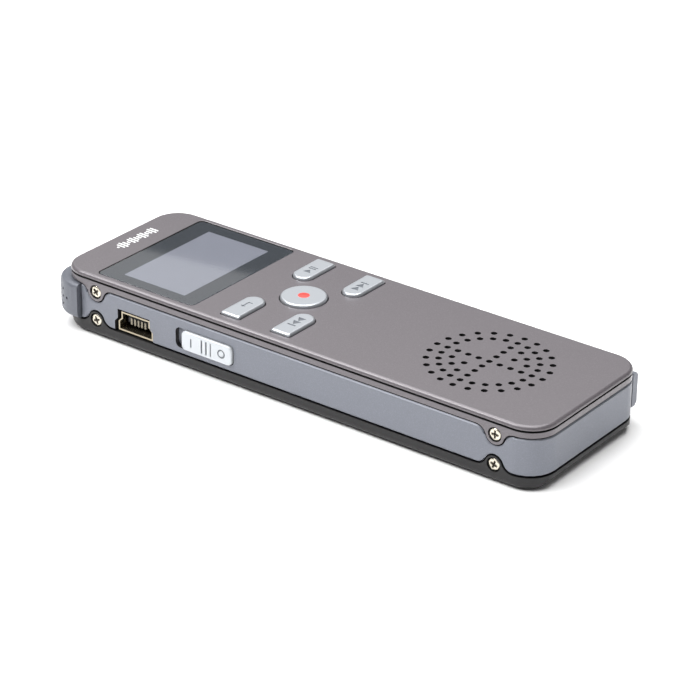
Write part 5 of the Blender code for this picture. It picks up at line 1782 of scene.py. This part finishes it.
# ---- The whole scene --------------------------------------------------------------------------------
@dataclass
class Studio:
    """White table, soft lights and the camera.

    Attributes:
        azimuth: Where the camera stands round the recorder, in degrees from -Y.
        elevation: How far it looks down, in degrees.
        roll: Its turn about its own line of sight, in degrees.
        lens: Focal length in millimetres.
        place: Where it stands, in millimetres.
        fill: Strength of the pale surround as a light.
        backdrop: Its strength as the camera sees it.
    """

    azimuth: float = -53.375
    elevation: float = 26.781
    roll: float = 0.738
    lens: float = 143.5
    place: tuple[float, float, float] = (-348.43, -260.78, 224.13)
    fill: float = 0.22
    backdrop: float = 0.95

    def camera(self) -> bpy.types.Object:
        """Stands the camera at its place and turns it to its direction."""
        az = math.radians(self.azimuth)
        el = math.radians(self.elevation)
        back = Vector((math.sin(az) * math.cos(el), -math.cos(az) * math.cos(el), math.sin(el)))
        level = (-back).cross(Vector((0, 0, 1))).normalized()
        up = back.cross(level)
        ro = math.radians(self.roll)
        right = level * math.cos(ro) + up * math.sin(ro)
        above = up * math.cos(ro) - level * math.sin(ro)
        data = bpy.data.cameras.new("camera")
        data.lens = self.lens
        data.sensor_width = 36.0
        data.clip_start = 0.01
        camera = linked("camera", data)
        turn = Matrix((right, above, back)).transposed().to_4x4()
        camera.matrix_world = Matrix.Translation(Vector(self.place) * MM) @ turn
        bpy.context.scene.camera = camera
        return camera

    def floor(self) -> bpy.types.Object:
        """A plain white table top."""
        bm = bmesh.new()
        bmesh.ops.create_grid(bm, x_segments=1, y_segments=1, size=3.0)
        table = from_bmesh("table", bm)
        paint(table, Finish("white_table", "#FAFAFA", 0.9, tone=0.0, grain_depth_mm=0.0).material())
        return table

    def lights(self) -> None:
        """Soft boxes round the recorder and a pale surround."""
        world = bpy.data.worlds.new("studio")
        world.use_nodes = True
        backdrop = world.node_tree.nodes["Background"]
        backdrop.inputs["Color"].default_value = (1.0, 1.0, 1.0, 1.0)
        path = add_node(world.node_tree, "ShaderNodeLightPath")
        bright = add_node(
            world.node_tree, "ShaderNodeMapRange",
            inputs={"Value": path.outputs["Is Camera Ray"], "To Min": self.fill, "To Max": self.backdrop},
        )
        world.node_tree.links.new(bright.outputs["Result"], backdrop.inputs["Strength"])
        bpy.context.scene.world = world
        bpy.context.scene.view_settings.view_transform = "Standard"
        for name, spot, aim, size, roll, power in SOFT_BOXES:
            data = bpy.data.lights.new(name, "AREA")
            data.shape = "RECTANGLE"
            data.size, data.size_y = size
            data.energy = power
            light = linked(name, data)
            away = Vector(spot) - Vector(aim)
            turn = away.to_track_quat("Z", "Y").to_matrix() @ Matrix.Rotation(math.radians(roll), 3, "Z")
            light.matrix_world = Matrix.Translation(spot) @ turn.to_4x4()


# Each soft box: its name, where it stands, what it faces, its size, its roll in degrees and its power.
SOFT_BOXES = (
    ("overhead", (-0.05, 0.1, 0.9), (0, 0, 0), (1.1, 1.1), 0.0, 16.0),
    ("far_left", (-0.45, 0.54, 0.72), (0, 0, 0), (0.4, 0.25), 0.0, 4.0),
    ("far_right", (0.76, 0.61, 0.966), (0.0, 0.0, 0.156), (1.3, 0.9), -14.0, 3.6),
)


def main() -> None:
    """Builds every sub-assembly in order and reports it."""
    logging.basicConfig(level=logging.INFO, format="%(name)s %(message)s")
    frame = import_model()
    NODES.update(frame["nodes"])
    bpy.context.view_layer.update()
    studio = Studio()
    studio.camera()
    studio.floor()
    studio.lights()

    case = Case.measured()
    front = FrontCover(case)
    rear = RearCover(case)
    shell = [front, rear, MidFrame(case, front.edge(), rear.edge()), MicCap()]
    fittings = [*KEYS, RecordDot(), LanyardBar(), SideScrews(), Display(), SoundMark(), PowerSlide()]
    for assembly in [*shell, *fittings, *inside_pieces()]:
        assembly.dress(assembly.build())


if __name__ == "__main__":
    main()
